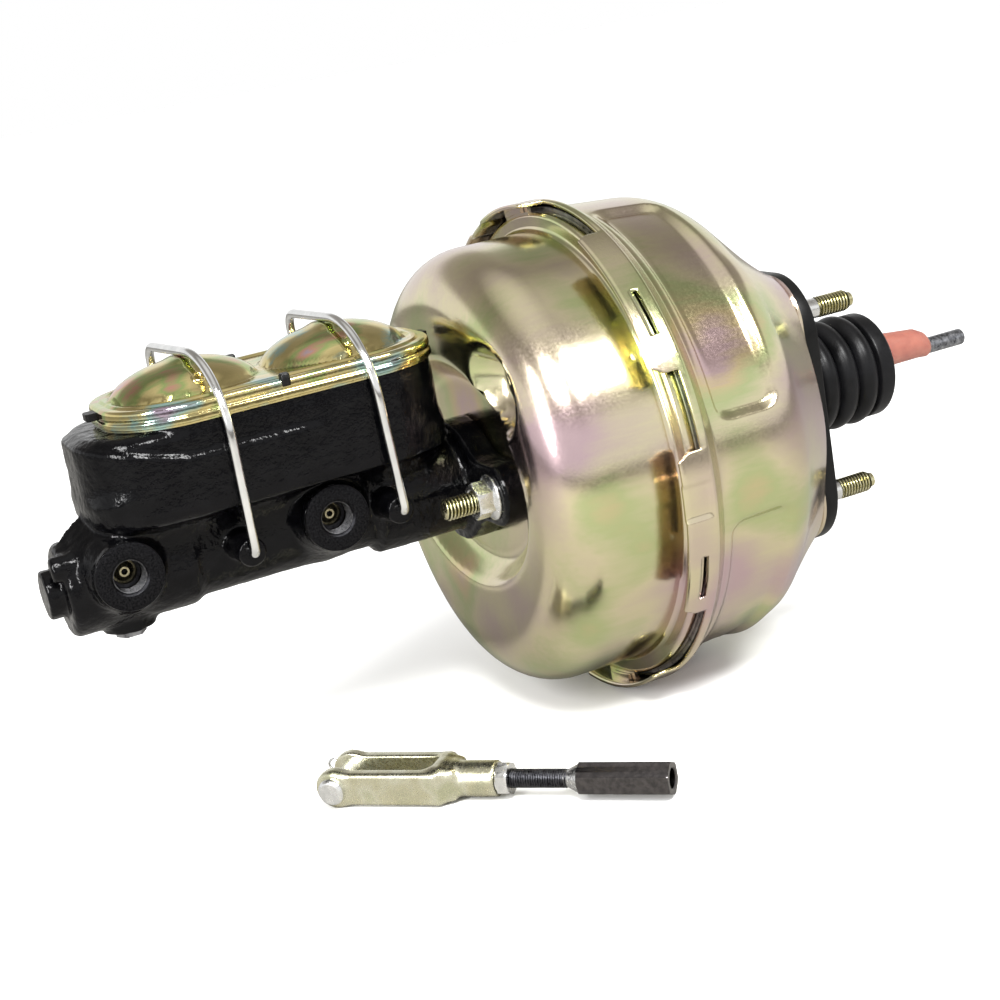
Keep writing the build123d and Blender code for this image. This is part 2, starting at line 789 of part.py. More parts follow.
def valve_body():
    """Moulded power piston: neck, hub flange, long tube and front spigot."""
    body = turned(
        (PISTON_FRONT_X, PLUNGER_BORE_R),
        (VALVE_BORE_X, PLUNGER_BORE_R),
        (VALVE_BORE_X, VALVE_BORE_R),
        (NECK_END_X, VALVE_BORE_R),
        (NECK_END_X, NECK_TUBE_R),
        (PISTON_HUB_BACK_X, NECK_TUBE_R),
        (PISTON_HUB_BACK_X, PISTON_HUB_R),
        (PISTON_HUB_FRONT_X, PISTON_HUB_R),
        (PISTON_HUB_FRONT_X, PISTON_R),
        (PISTON_SHOULDER_X, PISTON_R),
        (PISTON_SHOULDER_X, SPIGOT_R),
        (PISTON_FRONT_X, SPIGOT_R),
    )
    body -= bar((PISTON_FRONT_X - 1, 0, 0), (PISTON_SHOULDER_X, 0, 0), DISC_R)
    body -= key_space(RUNNING)
    return body


def key_space(grow):
    """Flat stop key's shape, driven into the power piston from above."""
    x = (KEY_X - KEY_T / 2 - grow, KEY_X + KEY_T / 2 + grow)
    y = (-KEY_W / 2 - grow, KEY_W / 2 + grow)
    return block(x, y, (GROOVE_R + 0.4, PISTON_R))


def valve_key():
    return key_space(0) & bar((KEY_X - KEY_T, 0, 0), (KEY_X + KEY_T, 0, 0), PISTON_R - SEAT_GAP)


def hub_seal():
    """Bearing and seal in the rear shell's hub, sliding on the neck."""
    return ring(BACK_X, HUB_END_X - 1, NECK_TUBE_R + RUNNING, HUB_R - STEEL)


def front_seal():
    """Seal on the output rod, in the stud plate's cup."""
    start = MOUNT_X + SNOUT_OUT + SEAT_GAP
    return ring(start, start + ROD_SEAL_T, OUTPUT_ROD_R + RUNNING, SEAL_CUP_R - SEAL_CUP_T)


def return_spring():
    return coil(front_plate_back_x(), PISTON_SHOULDER_X - PLATE_SHEET, *RETURN_SPRING)


def reaction_disc():
    back = PISTON_SHOULDER_X
    return bar((back - DISC_T * 0.5, 0, 0), (back, 0, 0), DISC_R - SEAT_GAP)


def output_rod():
    """Rod with a mushroom head over the reaction disc and a domed tip."""
    head_back = PISTON_SHOULDER_X - DISC_T * 0.5
    tip = SOCKET_END_X + SEAT_GAP
    rod = bar((tip, 0, 0), (head_back, 0, 0), OUTPUT_ROD_R)
    rod = fillet(rod.edges().sort_by(Axis.X)[0], 2.5)
    return rod + bar((head_back - OUTPUT_HEAD_T, 0, 0), (head_back, 0, 0), DISC_R - SEAT_GAP)


# Valve train and input rod


def air_valve():
    """Plunger with a key groove, a seat flange and a socket for the rod's ball."""
    groove_front = KEY_X - KEY_T / 2 - 0.5
    groove_back = KEY_X + KEY_T / 2 + 2.5
    neck = INPUT_ROD_R + 1.2
    plunger = turned(
        (PLUNGER_FRONT_X, 0),
        (PLUNGER_SEAT_X, 0),
        (PLUNGER_SEAT_X, PLUNGER_SEAT_R),
        (PLUNGER_SEAT_X - PLUNGER_SEAT_T, PLUNGER_SEAT_R),
        (PLUNGER_SEAT_X - PLUNGER_SEAT_T, PLUNGER_R),
        (groove_back, PLUNGER_R),
        (groove_back, GROOVE_R),
        (groove_front, GROOVE_R),
        (groove_front, PLUNGER_R),
        (PLUNGER_FRONT_X, PLUNGER_R),
    )
    plunger -= Pos(BALL_X, 0, 0) * Sphere(BALL_R + BALL_FIT)
    plunger -= bar((BALL_X, 0, 0), (PLUNGER_SEAT_X + 1, 0, 0), neck)
    return plunger


def poppet_valve():
    """Rubber poppet that meets the plunger's seat, with a guide tube."""
    back = POPPET_FRONT_X + POPPET_T
    outer = VALVE_BORE_R - SEAT_GAP
    return turned(
        (POPPET_FRONT_X, PLUNGER_SEAT_R - 4.5),
        (back, PLUNGER_SEAT_R - 4.5),
        (back, outer - 2),
        (back + 4, outer - 2),
        (back + 4, outer),
        (POPPET_FRONT_X, outer),
    )


def poppet_spring():
    return coil(POPPET_FRONT_X + POPPET_T, RETAINER_X, *POPPET_SPRING)


def valve_retainer():
    """Ring pressed into the neck, which both small springs bear on."""
    return ring(RETAINER_X, RETAINER_X + RETAINER_T, 7.2, VALVE_BORE_R)


def rod_spring():
    return coil(RETAINER_X + RETAINER_T, COLLAR_X, *ROD_SPRING)


def input_rod():
    """Pushrod: ball, slim neck, spring collar, the groove at the sleeve's end and a plain tip."""
    rod = Pos(BALL_X, 0, 0) * Sphere(BALL_R)
    rod += bar((BALL_X, 0, 0), (COLLAR_X, 0, 0), INPUT_NECK_R)
    shank = bar((COLLAR_X, 0, 0), (INPUT_TIP_X, 0, 0), INPUT_ROD_R)
    rod += chamfer(shank.edges().sort_by(Axis.X)[-1], INPUT_TIP_CHAMFER)
    groove_end = SLEEVE_END_X + SLEEVE_GROOVE_W
    rod -= ring(SLEEVE_END_X, groove_end, SLEEVE_GROOVE_R, INPUT_ROD_R + 1)
    return rod + bar((COLLAR_X, 0, 0), (COLLAR_X + COLLAR_T, 0, 0), COLLAR_R)


def air_filter():
    """Foam ring in the end of the neck."""
    return ring(FILTER_X, FILTER_X + FILTER_T, FILTER_BORE_R, VALVE_BORE_R)


def sleeve_section(x, z, r):
    return station(x, 0, z) * Circle(r)


def sleeve_z(x):
    """Height of the sleeve's centre line, which rises from its tip to its open end."""
    share = (SLEEVE_SHOULDER_X - x) / (SLEEVE_SHOULDER_X - SLEEVE_START_X)
    return SLEEVE_SHOULDER_Z + share * (SLEEVE_BASE_Z - SLEEVE_SHOULDER_Z)


def rod_sleeve():
    """Soft plastic sleeve on the rod, wider above the rod than below it."""
    base = sleeve_section(SLEEVE_START_X, SLEEVE_BASE_Z, SLEEVE_BASE_R)
    shoulder = sleeve_section(SLEEVE_SHOULDER_X, SLEEVE_SHOULDER_Z, SLEEVE_SHOULDER_R)
    end = sleeve_section(SLEEVE_END_X, SLEEVE_END_Z, SLEEVE_END_R)
    sleeve = loft([base, shoulder], ruled=True) + loft([shoulder, end], ruled=True)
    return sleeve - bar((SLEEVE_START_X - 1, 0, 0), (SLEEVE_END_X + 1, 0, 0), INPUT_ROD_R)


def boot_outline(inset):
    """Bellows outline from the cuff to the end wall, moved in by the rubber's wall."""
    crest, root = BOOT_CREST_R - inset, BOOT_ROOT_R - inset + 0.2
    cuff = HUB_R + BOOT_CUFF_T - inset
    points = [(BOOT_START_X, cuff), (CREST_XS[0] - BOOT_CUFF_END, cuff)]
    for x in CREST_XS:
        points += [(x - ROOT_BEFORE, root), (x - CREST_HALF / 2, crest), (x + CREST_HALF / 2, crest)]
    band = BOOT_END_X - END_BAND
    points += [(band - 1.6, root), (band, BOOT_END_R - inset), (BOOT_END_X - inset, BOOT_END_R - inset)]
    return points


def boot():
    """Rubber bellows from the hub tube to the sleeve, with three crests and an end band."""
    outer = boot_outline(0)
    inner = boot_outline(BOOT_WALL)
    body = turned((BOOT_START_X, 0), *outer, (BOOT_END_X, 0))
    mouth = [(BOOT_START_X - 1, 0), (BOOT_START_X - 1, inner[0][1])]
    hollow = turned(*mouth, *inner, (BOOT_END_X - BOOT_WALL, 0))
    body -= hollow
    body -= bar((BOOT_START_X - 1, 0, 0), (HUB_END_X + 1, 0, 0), HUB_R + 0.02)
    hole_z = sleeve_z(BOOT_END_X)
    hole_r = SLEEVE_BASE_R + SEAT_GAP
    body -= bar((BOOT_END_X - 4, 0, hole_z), (BOOT_END_X + 1, 0, hole_z), hole_r)
    return body


# Master cylinder


def mount_flange():
    """Flange with two round ears, a centre disc and the pilot snout behind."""
    front = MOUNT_X - EAR_T
    half = MOUNT_PITCH / 2
    outline = Circle(HUB_DISC_R) + Rectangle(2 * half, EAR_WEB)
    for y, z in mount_points():
        outline += Pos(y, z) * Circle(MOUNT_EAR_R)
    flange = extrude(station(front) * outline, EAR_T)
    return flange + bar((MOUNT_X - 1, 0, 0), (MOUNT_X + SNOUT_OUT, 0, 0), SNOUT_R)


def barrel():
    """Stepped barrel: nose, middle, and the boss behind the flange."""
    nose = bar((NOSE_X, 0, 0), (NOSE_BACK_X, 0, 0), NOSE_R)
    nose = fillet(nose.edges().sort_by(Axis.X)[0], NOSE_EDGE_R)
    middle = bar((NOSE_BACK_X - 1, 0, 0), (NECK_BOSS_X + 1, 0, 0), BARREL_R)
    neck = bar((NECK_BOSS_X, 0, 0), (MOUNT_X - EAR_T + 1, 0, 0), NECK_BOSS_R)
    plug = bar((PLUG_X, 0, 0), (NOSE_X + 2, 0, 0), PLUG_R)
    plug = fillet(plug.edges().sort_by(Axis.X)[0], 1.2)
    pin = bar((NOSE_X - PIN_OUT, PIN_Y, PIN_Z - PIN_R), (NOSE_X + 4, PIN_Y, PIN_Z - PIN_R), PIN_R)
    return nose + middle + neck + plug + pin


def tank_outer():
    """Reservoir block with its keel down to the barrel and its rim under the cover."""
    tank = slab(TANK_FRONT_X, TANK_BACK_X, TANK_HALF, TANK_CORNER_R, TANK_FLOOR_Z, TANK_SHOULDER_Z)
    top = tank.edges().group_by(Axis.Z)[-1]
    tank = fillet(top, SHOULDER_EDGE_R)
    rim = slab(RIM_FRONT_X, TANK_BACK_X, TANK_HALF, TANK_CORNER_R, TANK_FLOOR_Z, RIM_Z)
    length = TANK_BACK_X - TANK_FRONT_X
    middle = (TANK_BACK_X + TANK_FRONT_X) / 2
    wide = Pos(middle, 0, TANK_FLOOR_Z) * RectangleRounded(length, 2 * TANK_HALF, TANK_CORNER_R)
    slim = RectangleRounded(length - 2 * KEEL_INSET, 2 * KEEL_HALF, KEEL_CORNER_R)
    slim = Pos(middle, 0, KEEL_Z) * slim
    return tank + rim + loft([slim, wide], ruled=True)


def tank_chambers():
    """The reservoir's two open chambers, either side of its middle wall."""
    half = TANK_HALF - TANK_WALL
    corner = TANK_CORNER_R - TANK_WALL
    ends = [(RIM_FRONT_X + TANK_WALL, TANK_SPLIT_X - TANK_WALL / 2)]
    ends.append((TANK_SPLIT_X + TANK_WALL / 2, TANK_BACK_X - TANK_WALL))
    whole = slab(ends[0][0], ends[1][1], half, corner, TANK_INNER_Z, RIM_Z + 1)
    return [whole & block(pair, (-half, half), (TANK_INNER_Z, RIM_Z + 1)) for pair in ends]


def port_boss(x):
    """Outlet boss towards -Y."""
    boss = bar((x, 0, PORT_Z), (x, PORT_Y, PORT_Z), PORT_BOSS_R)
    return chamfer(boss.edges().sort_by(Axis.Y)[0], 0.8)


def port_cut(x):
    """Tapped hole, the pocket for its brass seat and the passage to the bore."""
    floor = PORT_Y + PORT_DEPTH
    hole = bar((x, PORT_Y - 1, PORT_Z), (x, floor, PORT_Z), PORT_HOLE_R)
    hole += bar((x, floor - 1, PORT_Z), (x, floor + SEAT_POCKET, PORT_Z), SEAT_R)
    return hole + bar((x, floor, PORT_Z), (x, 0, PORT_Z), PORT_PASSAGE_R)


def bail_bosses():
    """Round bosses on both sides that the bails hook into."""
    bosses = []
    for x in BAIL_PIVOT_XS:
        ends = ((x, -BAIL_BOSS_Y, BAIL_PIVOT_Z), (x, BAIL_BOSS_Y, BAIL_PIVOT_Z))
        bosses.append(bar(*ends, BAIL_BOSS_R))
    return bosses


def bail_holes():
    holes = []
    depth = BAIL_END_Y - 1
    for x in BAIL_PIVOT_XS:
        for way in (-1, 1):
            ends = ((x, way * depth, BAIL_PIVOT_Z), (x, way * (BAIL_BOSS_Y + 1), BAIL_PIVOT_Z))
            holes.append(bar(*ends, WIRE_R + BAIL_FIT))
    return holes


def cylinder_body():
    """Cast iron body with reservoir, barrel, flange, outlet bosses and bail bosses."""
    body = barrel() + mount_flange() + tank_outer()
    body += [port_boss(x) for x in PORT_XS]
    body += bail_bosses()
    body += bar((STOP_X, 0, 0), (STOP_X, 0, STOP_FACE_Z), STOP_BOSS_R)
    body -= bar((BORE_END_X, 0, 0), (MOUNT_X + SNOUT_OUT + 1, 0, 0), BORE_R)
    ring_x = PRIMARY_BACK_X + 0.1
    body -= ring(ring_x, ring_x + RING_T + 0.2, BORE_R - 1, BORE_R + RING_GROOVE)
    body -= tank_chambers()
    body -= [port_cut(x) for x in PORT_XS]
    body -= bail_holes()
    body -= [bar((x, 0, 0), (x, 0, TANK_INNER_Z + 1), INTAKE_R) for x in INTAKE_XS]
    stop_top = -BORE_R + 1
    body -= bar((STOP_X, 0, stop_top), (STOP_X, 0, STOP_FACE_Z - 1), STOP_THREAD_R)
    for y, z in mount_points():
        body -= bar((MOUNT_X + 1, y, z), (MOUNT_X - EAR_T - 1, y, z), STUD_R + STUD_FIT)
    return body


def tube_seats():
    """Brass seats pressed into the pockets under the outlet ports, cone up to the port's floor."""
    seats = []
    floor = PORT_Y + PORT_DEPTH
    base = floor + SEAT_POCKET
    for x in PORT_XS:
        seat = bar((x, base, PORT_Z), (x, base - SEAT_T, PORT_Z), SEAT_R)
        foot = Plane(origin=(x, base - SEAT_T, PORT_Z), z_dir=(0, -1, 0))
        tip = Plane(origin=(x, floor, PORT_Z), z_dir=(0, -1, 0))
        seat += loft([foot * Circle(SEAT_R - 1), tip * Circle(SEAT_NOSE_R)], ruled=True)
        seats.append(seat - bar((x, base + 1, PORT_Z), (x, PORT_Y, PORT_Z), SEAT_BORE_R))
    return seats


def stop_screw():
    """Screw in the boss under the nose."""
    shank_top = -BORE_R - 0.3
    head = RegularPolygon(STOP_HEAD_R, 6)
    screw = extrude(Pos(STOP_X, 0, STOP_FACE_Z - STOP_HEAD_T) * head, STOP_HEAD_T)
    return screw + bar((STOP_X, 0, STOP_FACE_Z - 1), (STOP_X, 0, shank_top), STOP_THREAD_R - STUD_FIT)


def cover_front_x():
    return RIM_FRONT_X - COVER_GAP - COVER_T


def cover_back_x():
    return TANK_BACK_X + COVER_GAP + COVER_T


def gasket_top_z():
    return RIM_Z + GASKET_SHEET


def reservoir_gasket():
    """Rubber gasket with a bellows pocket over each chamber and tabs round its edge."""
    top = gasket_top_z()
    pad = slab(RIM_FRONT_X, TANK_BACK_X, TANK_HALF, TANK_CORNER_R, RIM_Z, top)
    for chamber in tank_chambers():
        box = chamber.bounding_box()
        x_low, x_high = box.min.X + 4, box.max.X - 4
        half, corner = TANK_HALF - TANK_WALL - 4, 14
        pad += slab(x_low, x_high, half, corner, RIM_Z - BELLOWS_DEPTH, RIM_Z)
        pad -= slab(x_low + 2, x_high - 2, half - 2, corner - 2, RIM_Z - BELLOWS_DEPTH + 2, top + 1)
    front, back = cover_front_x() - TAB_OUT, cover_back_x() + TAB_OUT
    pad += block((front, RIM_FRONT_X + 4), (-TAB_W / 2, TAB_W / 2), (RIM_Z, top))
    pad += block((TANK_BACK_X - 4, back), (-TAB_W / 2, TAB_W / 2), (RIM_Z, top))
    for way in (-1, 1):
        edge = sorted((way * (TANK_HALF - 3), way * (TANK_HALF + COVER_GAP + COVER_T + 0.4)))
        pad += block((NUB_X - NUB_W / 2, NUB_X + NUB_W / 2), edge, (RIM_Z, top + COVER_T + NUB_RISE))
    return pad


def dome(x, rise, grow):
    """Half ellipsoid dome on the cover."""
    ball = scale(Sphere(1.0), by=(DOME_LONG + grow, DOME_WIDE + grow, rise + grow))
    return Pos(x, 0, gasket_top_z() + COVER_T) * ball


def reservoir_cover():
    """Pressed cover: flat rim and skirt, two domes, and a saddle under each bail."""
    top = gasket_top_z() + COVER_T
    grow = COVER_GAP + COVER_T
    front, back = cover_front_x(), cover_back_x()
    outer = slab(front, back, TANK_HALF + grow, TANK_CORNER_R + grow, COVER_SKIRT_Z, top)
    outer = fillet(outer.edges().group_by(Axis.Z)[-1], COVER_EDGE_R)
    wide = TANK_HALF + COVER_GAP
    corner = TANK_CORNER_R + COVER_GAP
    inner = slab(front + COVER_T, back - COVER_T, wide, corner, COVER_SKIRT_Z - 1, top - COVER_T)
    above = block((cover_front_x(), cover_back_x()), (-wide, wide), (top - COVER_T, top + 2 * DOME_RISE))
    for x in DOME_XS:
        outer += dome(x, DOME_RISE, 0) & above
    hollow = inner
    for x in DOME_XS:
        hollow += dome(x, DOME_RISE, -COVER_T) & above
    cover = outer - hollow
    for index, x in enumerate(BAIL_TOP_XS):
        along = (x - SADDLE_W / 2, x + SADDLE_W / 2)
        upright = (top + DOME_RISE - COVER_T, bail_top_z(index) - WIRE_R - SADDLE_DROP)
        cover += block(along, (-SADDLE_HALF, SADDLE_HALF), upright)
    ends = [(cover_front_x() - 1, cover_front_x() + 4), (cover_back_x() - 4, cover_back_x() + 1)]
    for pair in ends:
        cover -= block(pair, (-TAB_W / 2 - 0.3, TAB_W / 2 + 0.3), (RIM_Z - 0.3, gasket_top_z()))
    for way in (-1, 1):
        edge = sorted((way * (TANK_HALF - 3.3), way * (TANK_HALF + 5)))
        notch = (NUB_X - NUB_W / 2 - 0.3, NUB_X + NUB_W / 2 + 0.3)
        cover -= block(notch, edge, (RIM_Z - 0.3, top + 1))
    return cover


def bail_top_z(index):
    """Height of a bail's top wire, from its pivot, its reach and its lean."""
    lean = BAIL_TOP_XS[index] - BAIL_PIVOT_XS[index]
    return BAIL_PIVOT_Z + math.sqrt(BAIL_RADIUS**2 - lean**2)


def bail(index):
    """Wire bail: hooked ends in the bosses, two legs and a bar over the dome."""
    x, z = BAIL_PIVOT_XS[index], BAIL_PIVOT_Z
    top_x, top_z = BAIL_TOP_XS[index], bail_top_z(index)
    points = [(x, -BAIL_END_Y, z), (x, -BAIL_LEG_Y, z), (top_x, -BAIL_LEG_Y, top_z)]
    points += [(top_x, BAIL_LEG_Y, top_z), (x, BAIL_LEG_Y, z), (x, BAIL_END_Y, z)]
    radii = [BAIL_FOOT_R, BAIL_BEND_R, BAIL_BEND_R, BAIL_FOOT_R]
    path = FilletPolyline(*points, radius=radii)
    section = Plane(origin=path @ 0, z_dir=path % 0) * Circle(WIRE_R)
    return sweep(section, path=path)


# Pistons, cups and springs in the bore


def piston(back, front, stem, rear_grooves):
    """Piston with a waist, a front land, a seat for its cup and a stem."""
    corners = [(back, 0), (back, PISTON_OD), (back - LAND_T, PISTON_OD)]
    x = back - LAND_T
    for groove in range(rear_grooves):
        corners += [(x, CUP_SEAT_R), (x - CUP_T, CUP_SEAT_R), (x - CUP_T, PISTON_OD)]
        x -= CUP_T + CUP_BACKING
        corners.append((x, PISTON_OD))
    corners += [(x, WAIST_R), (front + LAND_T, WAIST_R), (front + LAND_T, PISTON_OD)]
    corners += [(front, PISTON_OD), (front, CUP_SEAT_R), (front - CUP_T, CUP_SEAT_R)]
    corners += [(front - CUP_T, STEM_R), (stem, STEM_R), (stem, 0)]
    return turned(*corners)


def cup(x_high):
    """Cup seal one groove wide, its front end at a lower x."""
    return ring(x_high - CUP_T, x_high, CUP_SEAT_R, PISTON_OD)


def primary_piston():
    body = piston(PRIMARY_BACK_X, PRIMARY_FRONT_X, PRIMARY_STEM_X, 1)
    return body - bar((SOCKET_END_X, 0, 0), (PRIMARY_BACK_X + 1, 0, 0), SOCKET_R)


def secondary_piston():
    return piston(SECONDARY_BACK_X, SECONDARY_FRONT_X, SECONDARY_STEM_X, 2)


def primary_cups():
    return [cup(PRIMARY_BACK_X - LAND_T), cup(PRIMARY_FRONT_X)]


def secondary_cups():
    first = SECONDARY_BACK_X - LAND_T
    return [cup(first), cup(first - CUP_T - CUP_BACKING), cup(SECONDARY_FRONT_X)]


def primary_spring():
    return coil(SECONDARY_BACK_X, PRIMARY_FRONT_X - CUP_T, *PRIMARY_SPRING)


def secondary_spring():
    return coil(BORE_END_X, SECONDARY_FRONT_X - CUP_T, *SECONDARY_SPRING)


def snap_ring():
    """Retaining ring in the bore's groove, with a gap at the top."""
    start = PRIMARY_BACK_X + 0.2
    whole = ring(start, start + RING_T, RING_IN_R, BORE_R + RING_GROOVE - 0.1)
    return whole - block((start - 1, start + RING_T + 1), (-3, 3), (RING_IN_R - 2, BORE_R + 3))


# Loose kit, drawn along its own +X from the clevis to the adapter


def kit_place():
    return Pos(KIT_X, KIT_Y, CLEVIS_EAR_R - LIP_R) * Rot(Z=KIT_YAW)


def clevis():
    """Forged clevis: two arms with round ears, a shoulder and a threaded neck."""
    half = CLEVIS_W / 2
    ear = CLEVIS_EAR_R
    fork = block((ear, CLEVIS_BODY_END), (-half, half), (-CLEVIS_ARM_H / 2, CLEVIS_ARM_H / 2))
    fork += bar((ear, -half, 0), (ear, half, 0), ear)
    tail = [edge for edge in fork.edges().filter_by(Axis.Z) if edge.center().X > CLEVIS_BODY_END - 1]
    fork = chamfer(tail, 4.5)
    fork += bar((CLEVIS_BODY_END - 6, 0, 0), (CLEVIS_END, 0, 0), CLEVIS_NECK_R)
    slot = CLEVIS_SLOT / 2
    fork -= block((-1, CLEVIS_SLOT_END), (-slot, slot), (-ear - 1, ear + 1))
    fork -= bar((ear, -half - 1, 0), (ear, half + 1, 0), CLEVIS_PIN_R + PIN_FIT)
    fork -= bar((CLEVIS_SLOT_END - 1, 0, 0), (CLEVIS_END + 1, 0, 0), KIT_THREAD_R + PIN_FIT)
    return kit_place() * fork


def clevis_pin():
    half = CLEVIS_W / 2
    ear = CLEVIS_EAR_R
    pin = bar((ear, -half - SEAT_GAP, 0), (ear, half + PIN_TAIL, 0), CLEVIS_PIN_R)
    head = bar((ear, -half - SEAT_GAP - PIN_HEAD_T, 0), (ear, -half - SEAT_GAP, 0), PIN_HEAD_R)
    head = fillet(head.edges().sort_by(Axis.Y)[0], 1.5)
    hole_y = half + SEAT_GAP + CLIP_R
    pin = pin + head
    return kit_place() * (pin - bar((ear - 9, hole_y, 0), (ear + 9, hole_y, 0), CLIP_R))


def pin_clip():
    """Cotter through the pin's tail."""
    y = CLEVIS_W / 2 + SEAT_GAP + CLIP_R
    middle = CLEVIS_EAR_R - 3
    clip = bar((middle - CLIP_LENGTH / 2, y, 0), (middle + CLIP_LENGTH / 2, y, 0), CLIP_R - 0.02)
    eye = Pos(middle - CLIP_LENGTH / 2 - 1, y, 0) * Rot(X=90) * Torus(2.4, CLIP_R - 0.1)
    return kit_place() * (clip + eye)


def jam_nut():
    start = CLEVIS_END + SEAT_GAP
    nut = extrude(station(start) * RegularPolygon(KIT_HEX / math.sqrt(3), 6), JAM_NUT_T)
    return kit_place() * (nut - bar((start - 1, 0, 0), (start + JAM_NUT_T + 1, 0, 0), KIT_THREAD_R + PIN_FIT))


def rod_adapter():
    """Threaded stud, taper and a long hex socket that screws onto the pushrod."""
    corner = KIT_HEX / math.sqrt(3)
    adapter = extrude(station(TAPER_END) * RegularPolygon(corner, 6), ADAPTER_END - TAPER_END)
    adapter += turned(
        (THREAD_START, 0),
        (THREAD_END + 1.5, 0),
        (THREAD_END + 1.5, KIT_THREAD_R),
        (THREAD_START, KIT_THREAD_R),
    )
    waist = station(THREAD_END) * Circle(KIT_THREAD_R - 0.3)
    shoulder = station(TAPER_END) * Circle(KIT_HEX / 2)
    adapter += loft([waist, shoulder], ruled=True)
    bore = bar((ADAPTER_END - ADAPTER_BORE_DEPTH, 0, 0), (ADAPTER_END + 1, 0, 0), ADAPTER_BORE_R)
    return kit_place() * (adapter - bore)


PARTS = {
    "front_shell": front_shell,
    "rear_shell": rear_shell,
    "firewall_studs": firewall_studs,
    "rear_stud_plate": rear_stud_plate,
    "master_cylinder_studs": master_cylinder_studs,
    "front_stud_plate": front_stud_plate,
    "flange_nuts": flange_nuts,
    "firewall_gasket": firewall_gasket,
    "valve_grommet": valve_grommet,
    "check_valve": check_valve,
    "center_divider": center_divider,
    "divider_seal": divider_seal,
    "front_plate": front_plate,
    "rear_plate": rear_plate,
    "front_diaphragm": front_diaphragm,
    "rear_diaphragm": rear_diaphragm,
    "valve_body": valve_body,
    "valve_key": valve_key,
    "hub_seal": hub_seal,
    "front_seal": front_seal,
    "return_spring": return_spring,
    "reaction_disc": reaction_disc,
    "output_rod": output_rod,
    "air_valve": air_valve,
    "poppet_valve": poppet_valve,
    "poppet_spring": poppet_spring,
    "valve_retainer": valve_retainer,
    "rod_spring": rod_spring,
    "input_rod": input_rod,
    "air_filter": air_filter,
    "rod_sleeve": rod_sleeve,
    "boot": boot,
    "cylinder_body": cylinder_body,
    "tube_seats": tube_seats,
    "stop_screw": stop_screw,
    "reservoir_gasket": reservoir_gasket,
    "reservoir_cover": reservoir_cover,
    "front_bail": lambda: bail(0),
    "rear_bail": lambda: bail(1),
    "primary_piston": primary_piston,
    "secondary_piston": secondary_piston,
    "primary_cups": primary_cups,
    "secondary_cups": secondary_cups,
    "primary_spring": primary_spring,
    "secondary_spring": secondary_spring,
    "snap_ring": snap_ring,
    "clevis": clevis,
    "clevis_pin": clevis_pin,
    "pin_clip": pin_clip,
    "jam_nut": jam_nut,
    "rod_adapter": rod_adapter,
}

for name, make in PARTS.items():
    made = make()
    solids = made if isinstance(made, list) else [made]
    pieces = [solid for piece in solids for solid in piece.solids()]
    export_step(Compound(children=pieces), f"parts/{name}.step")
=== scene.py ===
import json
import math

import bmesh
import bpy
import numpy as np
from mathutils import Matrix, Vector


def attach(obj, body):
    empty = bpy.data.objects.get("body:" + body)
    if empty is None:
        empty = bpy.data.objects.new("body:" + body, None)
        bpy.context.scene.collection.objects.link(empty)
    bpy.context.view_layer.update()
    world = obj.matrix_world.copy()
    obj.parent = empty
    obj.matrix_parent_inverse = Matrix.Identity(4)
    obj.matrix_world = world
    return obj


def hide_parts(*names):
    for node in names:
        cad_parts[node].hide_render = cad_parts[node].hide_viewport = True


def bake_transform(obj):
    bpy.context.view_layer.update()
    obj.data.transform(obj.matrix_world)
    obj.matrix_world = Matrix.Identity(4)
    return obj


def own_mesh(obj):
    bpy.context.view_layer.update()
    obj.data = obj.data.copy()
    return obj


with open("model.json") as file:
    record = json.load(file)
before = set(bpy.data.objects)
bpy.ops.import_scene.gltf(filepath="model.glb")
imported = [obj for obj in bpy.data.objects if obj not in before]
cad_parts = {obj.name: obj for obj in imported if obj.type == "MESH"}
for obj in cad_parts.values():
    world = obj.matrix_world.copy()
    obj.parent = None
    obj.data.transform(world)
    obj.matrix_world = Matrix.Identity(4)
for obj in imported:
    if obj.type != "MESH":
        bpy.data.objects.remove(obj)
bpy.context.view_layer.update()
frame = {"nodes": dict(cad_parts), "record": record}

# Sizes below are millimetres in the part's frame, and meshes are made in metres. A clock angle
# is 0 towards -Y, the ports' side, and 90 straight up.
MM = 0.001


# Arrays


def unit(vector):
    vector = np.asarray(vector, float)
    return vector / np.linalg.norm(vector, axis=-1, keepdims=True)


def smooth(value, low, high):
    """0 below low, 1 above high, and 3t^2 - 2t^3 of the way t between them."""
    t = np.clip((value - low) / (high - low), 0, 1)
    return t * t * (3 - 2 * t)


def soft_max(a, b, width):
    """The larger of a and b, with a quadratic bulge where they differ by less than width."""
    bulge = np.maximum(width - np.abs(a - b), 0) / width
    return np.maximum(a, b) + bulge * bulge * width / 4


def soft_min(a, b, width):
    return -soft_max(-a, -b, width)


def soften(outline, radius, steps=4):
    """The outline with its inner corners rounded by arcs of the given radius or radii."""
    outline = np.asarray(outline, float)
    radii = np.broadcast_to(radius, len(outline) - 2)
    rounded = [outline[0]]
    for before, corner, after, wanted in zip(outline, outline[1:], outline[2:], radii):
        one, two = unit(before - corner), unit(after - corner)
        half = math.acos(float(np.clip(one @ two, -1, 1))) / 2
        if half > 1.56 or wanted <= 0:
            rounded.append(corner)
            continue
        room = 0.49 * min(np.linalg.norm(before - corner), np.linalg.norm(after - corner))
        trim = min(wanted / math.tan(half), room)
        arc = math.pi - 2 * half
        centre = corner + unit(one + two) * trim / math.cos(half)
        first, last = corner + one * trim - centre, corner + two * trim - centre
        t = np.linspace(0, 1, steps + 1)[:, None]
        turned = np.sin((1 - t) * arc) * first + np.sin(t * arc) * last
        rounded.extend(centre + turned / math.sin(arc))
    rounded.append(outline[-1])
    return np.array(rounded)


